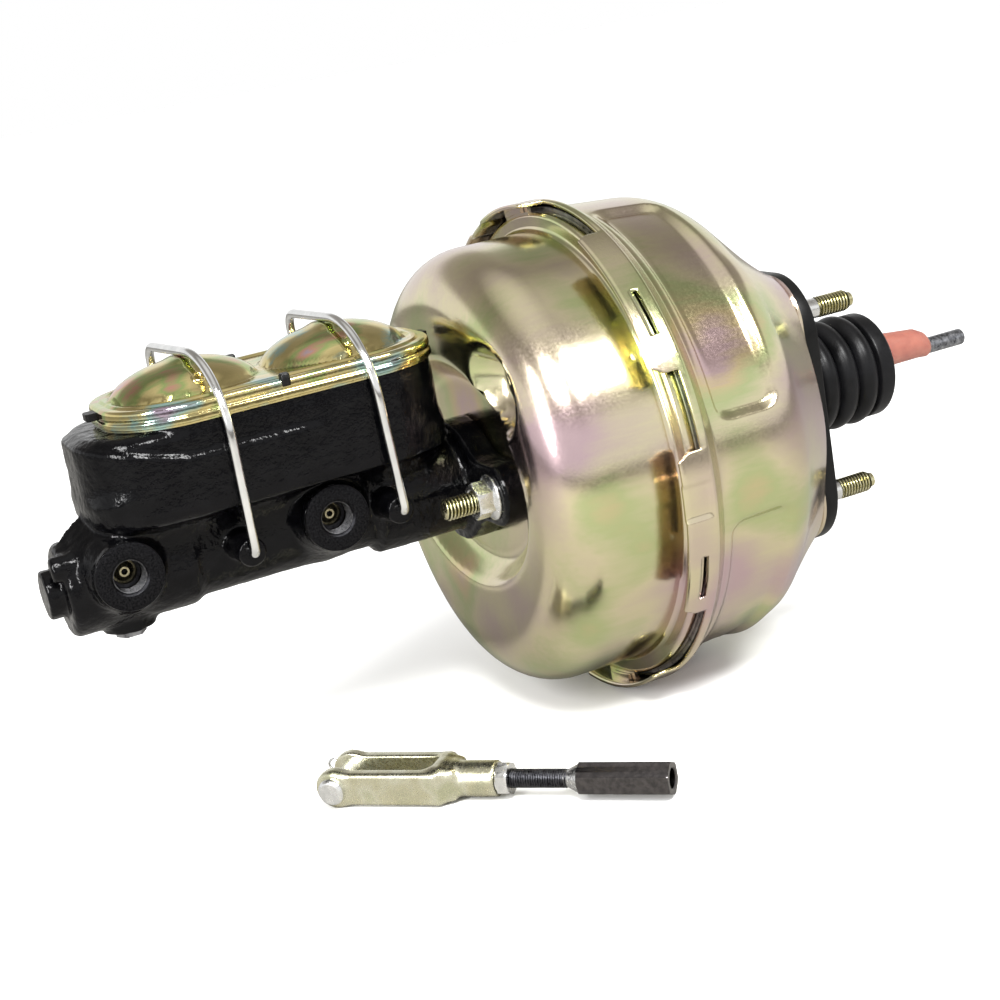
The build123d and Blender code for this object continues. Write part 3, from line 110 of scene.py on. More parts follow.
def spaced(outline, step):
    """The outline with its long runs divided, so that no run is longer than step."""
    pieces = []
    for start, end in zip(outline, outline[1:]):
        count = max(1, math.ceil(np.linalg.norm(end - start) / step - 1e-6))
        t = np.linspace(0, 1, count, endpoint=False)[:, None]
        pieces.append(start + t * (end - start))
    return np.concatenate([*pieces, outline[-1:]])


def grid_faces(rows, columns, closed=True):
    """Quads between neighbours of a rows by columns grid, whose columns close into rings."""
    row = np.arange(rows - 1)[:, None]
    column = np.arange(columns if closed else columns - 1)
    after = (column + 1) % columns
    quads = [row * columns + column, row * columns + after]
    quads += [(row + 1) * columns + after, (row + 1) * columns + column]
    return np.stack(np.broadcast_arrays(*quads), axis=-1).reshape(-1, 4)


def surface_net(field, origin, step):
    """Closed surface where the field is 0. Each cell that it crosses gets one point, the mean of
    the crossings on the cell's edges, and each grid edge that it crosses gets one quad."""
    inside = field < 0
    cells = np.array(field.shape) - 1
    total = np.zeros((*cells, 3))
    count = np.zeros(cells)
    crossed_edges = []
    for axis in range(3):
        low = [slice(None)] * 3
        high = [slice(None)] * 3
        low[axis], high[axis] = slice(None, -1), slice(1, None)
        start, end = field[tuple(low)], field[tuple(high)]
        crossed = inside[tuple(low)] != inside[tuple(high)]
        share = np.where(crossed, start / np.where(crossed, start - end, 1), 0)
        crossed_edges.append(crossed)
        others = [other for other in range(3) if other != axis]
        for first in (0, 1):
            for second in (0, 1):
                pick = [slice(None)] * 3
                pick[others[0]] = slice(first, first + cells[others[0]])
                pick[others[1]] = slice(second, second + cells[others[1]])
                hit = crossed[tuple(pick)]
                count += hit
                total[..., axis] += hit * share[tuple(pick)]
                total[..., others[0]] += hit * first
                total[..., others[1]] += hit * second
    used = count > 0
    number = np.cumsum(used).reshape(used.shape) - 1
    corner = np.argwhere(used)
    points = origin + step * (corner + total[used] / count[used][:, None])
    faces = []
    for axis, crossed in enumerate(crossed_edges):
        second, third = (axis + 1) % 3, (axis + 2) % 3
        where = np.argwhere(crossed)
        keep = (where[:, second] > 0) & (where[:, third] > 0)
        keep &= (where[:, second] < cells[second]) & (where[:, third] < cells[third])
        where = where[keep]
        ring = []
        for back_second, back_third in ((1, 1), (0, 1), (0, 0), (1, 0)):
            cell = where.copy()
            cell[:, second] -= back_second
            cell[:, third] -= back_third
            ring.append(number[tuple(cell.T)])
        ring = np.stack(ring, axis=-1)
        outward = inside[tuple(where.T)]
        faces.append(np.where(outward[:, None], ring, ring[:, ::-1]))
    return points, np.concatenate(faces)


def rounded(one, other, edge):
    """Distance to the form where both distances are below 0, its edge rounded."""
    one, other = one + edge, other + edge
    outside = np.hypot(np.maximum(one, 0), np.maximum(other, 0))
    return outside + np.minimum(np.maximum(one, other), 0) - edge


def between_ends(value, start, end):
    """Distance to a stretch from start to end."""
    return np.abs(value - (start + end) / 2) - (end - start) / 2


def field_grid(low, high, step):
    """Coordinates of a grid of points between two corners."""
    counts = np.ceil((high - low) / step).astype(int)
    axes = [low[i] + step * np.arange(counts[i]) for i in range(3)]
    return np.meshgrid(*axes, indexing="ij", sparse=True)


def lattice_noise(points, size, seed):
    """Values from -1 to 1: a random number on each point of a lattice of that size, blended
    between them by the three-way product of smooth steps."""
    numbers = np.random.default_rng(seed).uniform(-1, 1, (64, 64, 64))
    scaled = points / size
    cell = np.floor(scaled).astype(int)
    t = scaled - cell
    t = t * t * (3 - 2 * t)
    value = 0
    for corner in np.ndindex(2, 2, 2):
        weight = np.prod(np.where(corner, t, 1 - t), axis=-1)
        spot = (cell + corner) % 64
        value = value + weight * numbers[spot[..., 0], spot[..., 1], spot[..., 2]]
    return value


# Shapes


def around(origin, axis, station, radii, turn):
    """Points at each station along the axis from the origin, and at each radius and turn from it."""
    axis = unit(axis)
    side = unit(np.cross(axis, (0, 0, 1) if abs(axis[2]) < 0.9 else (0, 1, 0)))
    up = np.cross(side, axis)
    ring = np.cos(turn)[:, None] * side + np.sin(turn)[:, None] * up
    return np.array(origin) + station[:, None, None] * axis + radii[..., None] * ring


def full_turn(columns):
    return np.linspace(0, 2 * np.pi, columns, endpoint=False)


def lathe(profile, origin=(0, 0, 0), axis=(1, 0, 0), columns=96):
    """Surface of revolution: each (station, radius) of the profile is carried round the axis."""
    station, radius = np.transpose(profile)
    points = around(origin, axis, station, radius[:, None], full_turn(columns))
    return points, grid_faces(len(profile), columns)


def thread(start, end, radius, pitch, origin=(0, 0, 0), axis=(1, 0, 0), columns=32):
    """Screw thread: the radius dips with a cosine of (station / pitch - turn), and the dip fades
    at both ends, where the end is chamfered."""
    turn = full_turn(columns)
    depth = 0.6 * pitch
    station = np.linspace(start, end, math.ceil((end - start) / pitch * 8) + 1)
    wave = np.cos(2 * np.pi * station[:, None] / pitch - turn)
    sharp = np.clip(0.5 + 0.72 * wave, 0, 1)
    edge = np.minimum(station - start, end - station)[:, None]
    radii = radius - depth * sharp - np.maximum(depth - edge, 0)
    station = np.concatenate([[start], station, [end]])
    radii = np.pad(radii, ((1, 1), (0, 0)))
    return around(origin, axis, station, radii, turn), grid_faces(len(station), columns)


def hexagon(flats, profile, origin=(0, 0, 0), axis=(1, 0, 0), phase=0.0, per_side=8):
    """Hexagonal prism: at each (station, limit) the radius is the hexagon's, or the limit where
    that is less, which gives a nut its round chamfer."""
    columns = 6 * per_side
    turn = full_turn(columns)
    to_flat = (turn + np.pi / 6) % (np.pi / 3) - np.pi / 6
    hex_radius = flats / 2 / np.cos(to_flat)
    station, limit = np.transpose(profile)
    radii = np.minimum(hex_radius, limit[:, None])
    points = around(origin, axis, station, radii, turn + math.radians(phase))
    return points, grid_faces(len(profile), columns)


def tube(path, binormal, radius, columns=20):
    """Round wire along a path: rings square to the path's tangent, closed by rounded ends."""
    tangent = unit(np.gradient(path, axis=0))
    side = unit(np.cross(tangent, binormal))
    up = np.cross(side, tangent)
    ends, past = np.array([0.0, 0.6, 0.9]), np.array([[0.35], [0.25], [0.1]])
    share = np.concatenate([ends, np.ones(len(path)), ends[::-1]])
    first, last = path[:1] - tangent[:1] * radius * past, path[-1:] + tangent[-1:] * radius * past[::-1]
    path = np.concatenate([first, path, last])
    side = np.concatenate([np.repeat(side[:1], 3, 0), side, np.repeat(side[-1:], 3, 0)])
    up = np.concatenate([np.repeat(up[:1], 3, 0), up, np.repeat(up[-1:], 3, 0)])
    turn = full_turn(columns)
    ring = np.cos(turn)[:, None] * side[:, None, :] + np.sin(turn)[:, None] * up[:, None, :]
    points = path[:, None, :] + radius * share[:, None, None] * ring
    return points, grid_faces(len(path), columns)


def coil(low, high, radius, wire, turns):
    """Coil spring along X, with closed end turns."""
    t = np.linspace(0, 1, int(turns * 40))
    ease = t - 0.35 / (2 * np.pi) * np.sin(2 * np.pi * t)
    station = low + wire + (high - low - 2 * wire) * ease
    turn = 2 * np.pi * turns * t
    path = np.stack([station, radius * np.cos(turn), radius * np.sin(turn)], axis=-1)
    return tube(path, (1, 0, 0), wire, 12)


def oblong(half_x, half_y, radius, arc=12, long_side=40, short_side=12):
    """Rounded rectangle as one loop of points, the same count whatever its size."""
    inner_x, inner_y = half_x - radius, half_y - radius
    signs = [(1, 1), (-1, 1), (-1, -1), (1, -1)]
    corners = [(sx * inner_x, sy * inner_y, 90 * quarter) for quarter, (sx, sy) in enumerate(signs)]
    loop = []
    for index, (x, y, start) in enumerate(corners):
        turn = np.radians(start + np.linspace(0, 90, arc + 1))
        bend = np.stack([x + radius * np.cos(turn), y + radius * np.sin(turn)], axis=-1)
        next_x, next_y, next_start = corners[(index + 1) % 4]
        first = math.radians(next_start)
        ahead = np.array([next_x + radius * math.cos(first), next_y + radius * math.sin(first)])
        count = long_side if index % 2 == 0 else short_side
        t = np.linspace(0, 1, count + 1)[1:-1, None]
        loop += [bend, bend[-1] + t * (ahead - bend[-1])]
    return np.concatenate(loop)


def slab(centre, half_x, half_y, radius, levels, plane="xy", **counts):
    """Plate with a rounded outline: a loop at each (level, inset), closed at both ends by loops
    that shrink to the middle line."""
    rows = []
    for level, inset in levels:
        loop = oblong(half_x - inset, half_y - inset, max(radius - inset, 0.05), **counts)
        rows.append(np.column_stack([loop, np.full(len(loop), level)]))
    points = np.array(rows)
    if plane == "yz":
        points = points[..., [2, 0, 1]]
    return points + np.array(centre), grid_faces(len(levels), points.shape[1])


def moved(shape, matrix):
    """The shape carried by a 4 by 4 matrix."""
    points, faces = shape
    matrix = np.array(matrix)
    return points @ matrix[:3, :3].T + matrix[:3, 3], faces


# Pieces


def make_piece(name, shapes, material, body, replaces=(), slot=None, crease=38, closed=True, wall=0):
    """Mesh object from (points, faces) pairs, welded, smooth but for edges over the crease. The
    normals of a closed one are turned outwards, and an open sheet can get a wall."""
    starts = np.cumsum([0] + [points.reshape(-1, 3).shape[0] for points, faces in shapes])
    points = np.concatenate([points.reshape(-1, 3) for points, faces in shapes]) * MM
    faces = np.concatenate([faces + start for (_, faces), start in zip(shapes, starts)])
    mesh = bpy.data.meshes.new(name)
    mesh.vertices.add(len(points))
    mesh.vertices.foreach_set("co", points.ravel())
    mesh.loops.add(faces.size)
    mesh.loops.foreach_set("vertex_index", faces.ravel())
    mesh.polygons.add(len(faces))
    mesh.polygons.foreach_set("loop_start", np.arange(0, faces.size, 4))
    mesh.update(calc_edges=True)
    work = bmesh.new()
    work.from_mesh(mesh)
    bmesh.ops.remove_doubles(work, verts=work.verts, dist=0.000004)
    if closed:
        bmesh.ops.recalc_face_normals(work, faces=work.faces)
    work.to_mesh(mesh)
    work.free()
    mesh.shade_smooth()
    mesh.set_sharp_from_angle(angle=math.radians(crease))
    piece = bpy.data.objects.new(name, mesh)
    bpy.context.scene.collection.objects.link(piece)
    mesh.materials.append(material)
    if wall:
        shell = piece.modifiers.new("wall", "SOLIDIFY")
        shell.thickness = wall * MM
        shell.offset = 1
    if body:
        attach(piece, body)
    if replaces:
        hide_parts(*replaces)
        slots = {entry["node"]: entry["material_slot"] for entry in frame["record"]["subparts"]}
        slot = slot or slots[replaces[0]]
    return piece


# Materials


def colour(hex_text, alpha=1.0):
    """sRGB hex to the linear values that shaders take."""
    channels = [int(hex_text[i:i + 2], 16) / 255 for i in (0, 2, 4)]
    linear = [c / 12.92 if c <= 0.04045 else ((c + 0.055) / 1.055) ** 2.4 for c in channels]
    return (*linear, alpha)


def add(tree, kind, inputs=None, **settings):
    """A node with its settings, its values, and its links where a value is another's socket."""
    node = tree.nodes.new(kind)
    for key, value in settings.items():
        setattr(node, key, value)
    for key, value in (inputs or {}).items():
        if isinstance(value, bpy.types.NodeSocket):
            tree.links.new(value, node.inputs[key])
        else:
            node.inputs[key].default_value = value
    return node


def ramp(tree, factor, stops):
    """Colour ramp through (place, hex) stops."""
    node = add(tree, "ShaderNodeValToRGB", {"Fac": factor})
    band = node.color_ramp
    while len(band.elements) < len(stops):
        band.elements.new(0.5)
    for element, (place, hex_text) in zip(band.elements, stops):
        element.position = place
        element.color = colour(hex_text)
    return node.outputs["Color"]


def grain(tree, size_mm, detail=2.0, stretch=(1, 1, 1), rough=0.5):
    """Noise whose blotches are about size_mm across, in object space."""
    place = add(tree, "ShaderNodeTexCoord").outputs["Object"]
    place = add(tree, "ShaderNodeMapping", {"Vector": place, "Scale": stretch}).outputs["Vector"]
    inputs = {"Vector": place, "Scale": 1 / (size_mm * MM), "Detail": detail, "Roughness": rough}
    return add(tree, "ShaderNodeTexNoise", inputs).outputs["Fac"]


def between(tree, factor, low, high):
    """A number that runs from low to high as the factor runs from 0.3 to 0.7."""
    inputs = {"Value": factor, "From Min": 0.3, "From Max": 0.7, "To Min": low, "To Max": high}
    return add(tree, "ShaderNodeMapRange", inputs).outputs["Result"]


def bump(tree, height, depth_mm, strength=1.0, under=None):
    inputs = {"Height": height, "Distance": depth_mm * MM, "Strength": strength}
    if under is not None:
        inputs["Normal"] = under
    return add(tree, "ShaderNodeBump", inputs).outputs["Normal"]


def start_material(name):
    material = bpy.data.materials.new(name)
    material.use_nodes = True
    tree = material.node_tree
    return material, tree, tree.nodes["Principled BSDF"]


def link(tree, socket, shader, name):
    tree.links.new(socket, shader.inputs[name])


def yellow_chromate(name, stops, patch_mm=34, rough=(0.14, 0.26), streak=0.35):
    """Steel pressing plated with zinc and dipped in yellow chromate. The film's thickness drifts,
    so its colour runs from straw to green, pink and violet, with faint marks along the draw."""
    material, tree, shader = start_material(name)
    film = grain(tree, patch_mm, detail=1.5, rough=0.5)
    marks = grain(tree, 3.2, detail=4.0, stretch=(0.12, 1, 1), rough=0.65)
    blend = {"Factor": streak * 0.5, "A": film, "B": marks}
    mixed = add(tree, "ShaderNodeMix", blend, data_type="FLOAT")
    base = ramp(tree, mixed.outputs["Result"], stops)
    link(tree, base, shader, "Base Color")
    speckle = grain(tree, 1.1, detail=3.0)
    link(tree, between(tree, speckle, *rough), shader, "Roughness")
    link(tree, bump(tree, speckle, 0.018), shader, "Normal")
    shader.inputs["Metallic"].default_value = 1.0
    return material


SHELL_FILM = [
    (0.32, "C8AFB2"), (0.42, "D0C0AE"), (0.50, "D9CFAC"),
    (0.58, "BEC692"), (0.66, "D4C298"), (0.74, "CAB0B0"),
]
COVER_FILM = [
    (0.30, "B8A8B8"), (0.38, "9FBFB6"), (0.45, "CDBE84"), (0.52, "DCCB90"),
    (0.59, "A9BC78"), (0.66, "CF9F88"), (0.73, "A8A8BE"), (0.80, "A9C2B0"),
]
BRACKET_FILM = [(0.30, "BEBEA4"), (0.45, "CECAAE"), (0.58, "DAD8C2"), (0.70, "C6C6A8")]
STUD_FILM = [(0.30, "B4AE80"), (0.48, "CFC89C"), (0.60, "DAD5B4"), (0.72, "BAB886")]

shell_zinc = yellow_chromate(
    "yellow_chromated_pressing", SHELL_FILM, patch_mm=56, rough=(0.15, 0.21), streak=0.22,
)
cover_zinc = yellow_chromate("bright_dipped_cover_zinc", COVER_FILM, patch_mm=24, rough=(0.08, 0.15))
stud_zinc = yellow_chromate("olive_chromated_thread", STUD_FILM, patch_mm=5, rough=(0.2, 0.3))
forged_zinc = yellow_chromate("chromated_forging", BRACKET_FILM, patch_mm=12, rough=(0.2, 0.34))


def black_casting():
    """Grey iron sand casting under gloss black paint: the sand's grain shows through the film."""
    material, tree, shader = start_material("gloss_black_cast_iron")
    fine = grain(tree, 2.2, detail=2.5, rough=0.55)
    coarse = grain(tree, 7.0, detail=1.5)
    normal = bump(tree, coarse, 0.4, 0.8)
    link(tree, bump(tree, fine, 0.34, 0.9, under=normal), shader, "Normal")
    link(tree, ramp(tree, coarse, [(0.35, "020203"), (0.7, "050506")]), shader, "Base Color")
    link(tree, between(tree, fine, 0.1, 0.18), shader, "Roughness")
    shader.inputs["Specular IOR Level"].default_value = 0.16
    return material


def finish(name, tones, cloud, grit=None, rough=(0.3, 0.42), depth_mm=0, metallic=0, **inputs):
    """Material whose colour follows the noise of the cloud, and whose gloss and relief follow
    that of the grit, or the cloud's where there is none."""
    material, tree, shader = start_material(name)
    shade = grain(tree, **cloud)
    relief = grain(tree, **grit) if grit else shade
    link(tree, ramp(tree, shade, tones), shader, "Base Color")
    link(tree, between(tree, relief, *rough), shader, "Roughness")
    if depth_mm:
        link(tree, bump(tree, relief, depth_mm), shader, "Normal")
    shader.inputs["Metallic"].default_value = metallic
    for key, value in inputs.items():
        shader.inputs[key.replace("_", " ")].default_value = value
    return material


def bright_zinc(name, size_mm, rough):
    """Zinc plate with a clear passivate: silver white with a soft grain."""
    cloud = {"size_mm": size_mm, "detail": 3.0}
    return finish(name, [(0.3, "D6D7D6"), (0.7, "EEEEEC")], cloud, rough=rough, metallic=1)


def rubber(name, dark, light, size_mm=1.2):
    """Moulded EPDM rubber: black, a dull sheen and a faint bloom."""
    bloom, pores = {"size_mm": 14, "detail": 3.0}, {"size_mm": size_mm, "detail": 2.0}
    return finish(name, [(0.35, dark), (0.7, light)], bloom, pores, (0.3, 0.4), 0.02,
                  Specular_IOR_Level=0.2)


def sleeve_plastic():
    """Soft red polyethylene sleeve, matt and slightly clouded."""
    cloud, pores = {"size_mm": 7, "detail": 2.0}, {"size_mm": 0.9, "detail": 2.0}
    tones = [(0.3, "7C463C"), (0.7, "8E5748")]
    return finish("soft_red_polyethylene", tones, cloud, pores, (0.42, 0.56), 0.03,
                  Subsurface_Weight=0.08)


def steel(name, dark, light, size_mm=2.0, rough=(0.25, 0.42)):
    """Bare or oiled steel, mottled at the given size."""
    mottle = {"size_mm": size_mm, "detail": 4.0, "rough": 0.65}
    tones = [(0.34, dark), (0.66, light)]
    return finish(name, tones, mottle, rough=rough, depth_mm=0.01, metallic=1)


def moulded(name, dark, light, rough=(0.3, 0.42)):
    """Moulded glass-filled nylon or phenolic, with a fine flow grain."""
    flow = {"size_mm": 3.0, "detail": 3.0}
    return finish(name, [(0.35, dark), (0.65, light)], flow, rough=rough, depth_mm=0.02)


black_iron = black_casting()
silver_zinc = bright_zinc("clear_zinc_plate", 2.4, (0.2, 0.3))
wire_zinc = bright_zinc("drawn_zinc_wire", 9.0, (0.12, 0.17))
boot_rubber = rubber("satin_black_rubber", "060607", "101012")
pad_rubber = rubber("closed_cell_gasket_foam", "060606", "0E0E0E", size_mm=0.8)
red_plastic = sleeve_plastic()
rod_steel = steel("mottled_rod_steel", "4A4C52", "A9ABB0", size_mm=2.2)
machined_iron = steel("machined_black_port", "0E0E10", "2A2A2C", size_mm=0.8, rough=(0.34, 0.5))
bore_steel = steel("oiled_bore", "3A3A3C", "7A7A7C", size_mm=0.7, rough=(0.3, 0.45))
seat_brass = steel("machined_brass", "8C8468", "C4BC9A", size_mm=0.8, rough=(0.24, 0.36))
dark_steel = steel("black_oxide_hex", "4C4A4A", "646060", size_mm=2.4, rough=(0.16, 0.24))
# Painted shade: a dark olive for the shade at the bottom of the studs' threads.
valley_shade = steel("painted_shade_thread_valley", "1C1E12", "34361F", size_mm=1.2, rough=(0.3, 0.45))
bright_steel = steel("turned_steel", "8E8E90", "DADAD8", size_mm=0.8, rough=(0.18, 0.3))
plain_steel = steel("pressed_steel", "6C6C70", "A2A2A4", size_mm=4.0)
spring_steel = steel("oil_tempered_wire", "2C2C30", "5C5C60", size_mm=1.5)
aluminium = steel("anodised_piston", "9A9CA0", "C6C8CA", size_mm=1.5)
phenolic = moulded("black_phenolic", "15120F", "241F1A")
nylon = moulded("glass_filled_nylon", "08080A", "17171A", rough=(0.26, 0.38))
foam = rubber("open_cell_filter_foam", "141414", "2A2A2A", size_mm=0.7)

CAD_FINISH = {
    "zinc_shell": shell_zinc, "zinc_stud": stud_zinc, "bright_zinc": silver_zinc,
    "black_iron": black_iron, "zinc_cover": cover_zinc, "black_rubber": boot_rubber,
    "red_sleeve": red_plastic, "rod_steel": rod_steel, "brass_seat": seat_brass,
    "black_plastic": nylon, "phenolic": phenolic, "plain_steel": plain_steel,
    "spring_steel": spring_steel, "piston_aluminium": aluminium, "filter_foam": foam,
    "clevis_zinc": forged_zinc, "dark_steel": dark_steel,
}
for entry in frame["record"]["subparts"]:
    node = frame["nodes"][entry["node"]]
    node.data.materials.clear()
    node.data.materials.append(CAD_FINISH[entry["material_slot"]])


# Shells

SHEET = 1.6


def outward(path):
    """Normals on the left of a path of (station, radius) points."""
    tangent = unit(np.gradient(path, axis=0))
    return np.stack([-tangent[:, 1], tangent[:, 0]], axis=-1)


def round_about(path, clock, depth):
    """Points of a sheet round the X axis: the path carried to each clock angle, and each point
    moved inwards along the path's normal by its depth."""
    normal = outward(path)
    station = path[:, :1] - normal[:, :1] * depth
    radius = path[:, 1:] - normal[:, 1:] * depth
    return np.stack([station, -radius * np.cos(clock), radius * np.sin(clock)], axis=-1)


def front_dents(across, up):
    """Depth of the master cylinder's recess and of the two dimples, blended where they meet."""
    oval = np.hypot(across / 66.0, up / np.where(up > 0, 52.5, 46.0))
    recess = 10.2 * (1 - smooth(oval, 0.80, 1.10))
    depth = recess
    for side in (-1, 1):
        away = unit(np.array([side * 53.0, 46.0]))
        off_across, off_up = across - side * 53.0, up - 46.0
        outwards = off_across * away[0] + off_up * away[1]
        sideways = off_across * away[1] - off_up * away[0]
        spot = np.hypot(outwards / 16.5, sideways / 23.0)
        floor = 13.4 if side < 0 else 10.8
        depth = soft_max(depth, floor * (1 - smooth(spot, 0.45, 1.06)), 2.5)
    return depth - 0.98 * (1 - smooth(depth, 0.98, 4.0))


def front_shell():
    """Front pressing: face, round shoulder, side and the flange that the rear shell's lip holds.
    The dents are laid out along the sheet, from the middle of the face."""
    outline = [(-160.7, 0.4), (-160.7, 98.8), (-103.6, 98.8), (-103.6, 106.9), (-98.0, 106.9)]
    path = spaced(soften(outline, [25.0, 2.5, 2.0], steps=14), 1.6)
    clock = np.radians(np.linspace(0, 360, 300, endpoint=False))
    along = np.concatenate([[0], np.cumsum(np.linalg.norm(np.diff(path, axis=0), axis=1))]) + 0.4
    across = -along[:, None] * np.cos(clock)
    up = along[:, None] * np.sin(clock)
    points = round_about(path, clock, front_dents(across, up))
    return points, grid_faces(len(path), len(clock))


def ring_sector(low, high, inner, outer, span, clock):
    """Bent plate: a rectangle of stations and radii carried round a short arc."""
    turn = np.radians(clock + np.linspace(-span / 2, span / 2, 9))
    corners = np.array([(low, inner), (high, inner), (high, outer), (low, outer)])
    station = np.broadcast_to(corners[:, 0], (9, 4))
    radius = corners[:, 1]
    y = -radius * np.cos(turn)[:, None]
    z = radius * np.sin(turn)[:, None]
    points = np.stack([station, y, z], axis=-1)
    caps = np.array([[3, 2, 1, 0], [32, 33, 34, 35]])
    return points, np.concatenate([grid_faces(9, 4), caps])


BACK_X = -11.5
FLAT_EDGE = 64.8
LIP_RADIUS = 111.8
LIP_END = -98.5
TEETH = 6
NOTCH_CLOCK = 16.0
NOTCH_SPANS = (17.0, 26.0)
NOTCH_FLOOR = -99.0
SLOT_CLOCK = 38.5
SLOT_SPAN = 11.0
SLOT = (-104.0, -100.8)
STAKE_CLOCK = -3.3
STAKE_SPAN = 8.0
PAD_SPAN = 66.0
PAD_CORNER = 7.0


def wrapped(angle):
    """Degrees brought into -180 to 180."""
    return (angle + 180) % 360 - 180


def rear_columns():
    """Clock angles of the rear shell's columns: even ones, and close ones at every edge."""
    edges = []
    for tooth in range(TEETH):
        notch = NOTCH_CLOCK + 60 * tooth
        half = NOTCH_SPANS[tooth % 2] / 2
        slot = SLOT_CLOCK + 60 * tooth
        edges += [notch - half, notch + half, slot - SLOT_SPAN / 2, slot + SLOT_SPAN / 2]
    for third in range(3):
        stake = STAKE_CLOCK + 120 * third
        edges += [stake - STAKE_SPAN / 2, stake + STAKE_SPAN / 2]
    edges = np.array(edges)
    pad_edges = np.array([45 + 90 * k + way * PAD_SPAN / 2 for k in range(4) for way in (-1, 1)])
    near = (edges[:, None] + np.array([-0.45, 0, 0.45])).ravel()
    pad_near = (pad_edges[:, None] + np.arange(-3.0, 3.1, 0.55)).ravel()
    even = np.arange(0, 360, 1.4)
    every = np.sort(np.concatenate([near, pad_near]) % 360)
    gap = np.min(np.abs(wrapped(even[:, None] - every)), axis=1)
    every = np.sort(np.concatenate([every, even[gap > 0.45]]))
    keep = np.concatenate([[True], np.diff(every) > 0.12])
    protected = np.min(np.abs(wrapped(every[:, None] - edges)), axis=1) < 1e-6
    return every[keep | protected]


def pad_depth(station, clock):
    """Depth of the four pressed pads: full inside a rounded rectangle, 0 outside it."""
    to_middle = np.abs(wrapped((clock - 45) % 90))
    to_middle = np.minimum(to_middle, 90 - to_middle)
    arc = np.radians(to_middle) * 104.0 - math.radians(PAD_SPAN / 2) * 104.0
    outside = rounded(arc, np.abs(station + 70.5) - 15.5, PAD_CORNER)
    return 2.9 * (1 - smooth(outside, -2.9, 1.9))


def square_radius(clock, half, corner):
    """Polar radius of a rounded square at a clock angle."""
    turn = np.radians(np.abs((clock + 45) % 90 - 45))
    flat = half / np.cos(turn)
    inner = half - corner
    middle = inner * (np.cos(turn) + np.sin(turn))
    round_part = middle + np.sqrt(np.maximum(middle**2 - 2 * inner**2 + corner**2, 0))
    return np.where(half * np.tan(turn) <= inner, flat, round_part)


def rear_path():
    """Outline of the rear shell, with points exactly at the lip's cut edges."""
    outline = [
        (-110.0, LIP_RADIUS), (-96.0, LIP_RADIUS), (-90.0, 107.0), (-48.4, 104.0),
        (BACK_X, 68.5), (BACK_X, 22.6), (10.0, 22.6),
    ]
    stations = spaced(soften(outline, [2.5, 3.0, 30.0, 9.0, 2.2], steps=10), 2.2)
    edges = (NOTCH_FLOOR, *SLOT, SLOT[1] + 0.8, NOTCH_FLOOR - 0.8)
    exact = np.array([(x, LIP_RADIUS) for x in edges])
    lip = stations[stations[:, 0] < LIP_END]
    lip = lip[np.min(np.abs(lip[:, :1] - exact[:, 0]), axis=1) > 0.5]
    lip = np.concatenate([lip, exact])
    return np.concatenate([lip[np.argsort(lip[:, 0])], stations[stations[:, 0] >= LIP_END]])


def notch_lean(station, degrees):
    """Turn of the lip's points in degrees, which leans the ends of the notches."""
    shift = np.zeros((len(station), len(degrees)))
    reach = 4.2 * smooth(-station, 104.5, 110.0)
    for tooth in range(TEETH):
        notch = NOTCH_CLOCK + 60 * tooth
        half = NOTCH_SPANS[tooth % 2] / 2
        for way in (-1, 1):
            off = wrapped(degrees - notch) * way - half
            near = np.where(off >= -1e-6, np.clip(1 - off / 3.5, 0, 1), 0)
            shift = shift + way * reach * 0.35 * near
    return shift


def squared_radius(radius, station, degrees):
    """Radius after the shell's round outline is drawn out to a rounded square at the back."""
    half = 59.6 + np.clip(BACK_X - station, 0, 36.9) * 0.43
    square = square_radius(degrees, half, 20.0)
    lifted = radius + (soft_max(radius, square, 10.0) - radius) * smooth(station, -60, -46)
    edge = np.full_like(square[:1], FLAT_EDGE)
    spread = soft_max(edge, square_radius(degrees, 58.6, 20.0), 3.0)
    share = np.clip((radius - 30) / (FLAT_EDGE - 30), 0, 1) ** 2
    face = radius * (1 + (spread / FLAT_EDGE - 1) * share)
    blend = smooth(station, BACK_X - 2.0, BACK_X)
    return lifted * (1 - blend) + face * blend


def in_lip_opening(path, degrees, faces):
    """Whether each face lies in a notch or a slot of the lip."""
    rows, columns = np.divmod(faces[:, 0], len(degrees))
    middle_x = (path[rows, 0] + path[rows + 1, 0]) / 2
    after = np.roll(degrees, -1)[columns]
    middle = degrees[columns] + wrapped(after - degrees[columns]) / 2
    cut = np.zeros(len(faces), bool)
    for tooth in range(TEETH):
        in_notch = np.abs(wrapped(middle - NOTCH_CLOCK - 60 * tooth)) < NOTCH_SPANS[tooth % 2] / 2
        cut |= in_notch & (middle_x < NOTCH_FLOOR)
        in_slot = np.abs(wrapped(middle - SLOT_CLOCK - 60 * tooth)) < SLOT_SPAN / 2
        cut |= in_slot & (middle_x > SLOT[0]) & (middle_x < SLOT[1])
    return cut


def rear_shell():
    """Rear pressing: toothed lip with its stakes, four pressed pads, slope and squared back."""
    path = rear_path()
    degrees = rear_columns()
    station = path[:, :1]
    depth = pad_depth(station, degrees) * (station > -92) * (station < -45)
    for third in range(3):
        off = np.abs(wrapped(degrees - STAKE_CLOCK - 120 * third)) - STAKE_SPAN / 2
        depth = depth + (1 - smooth(off, -0.35, 0.1)) * (1 - smooth(station, -98.6, -97.8))
    points = round_about(path, np.radians(degrees + notch_lean(station, degrees)), depth)
    radius = np.hypot(points[..., 1], points[..., 2])
    points[..., 1:] *= (squared_radius(radius, station, degrees) / radius)[..., None]
    faces = grid_faces(len(path), len(degrees))
    return points, faces[~in_lip_opening(path, degrees, faces)]


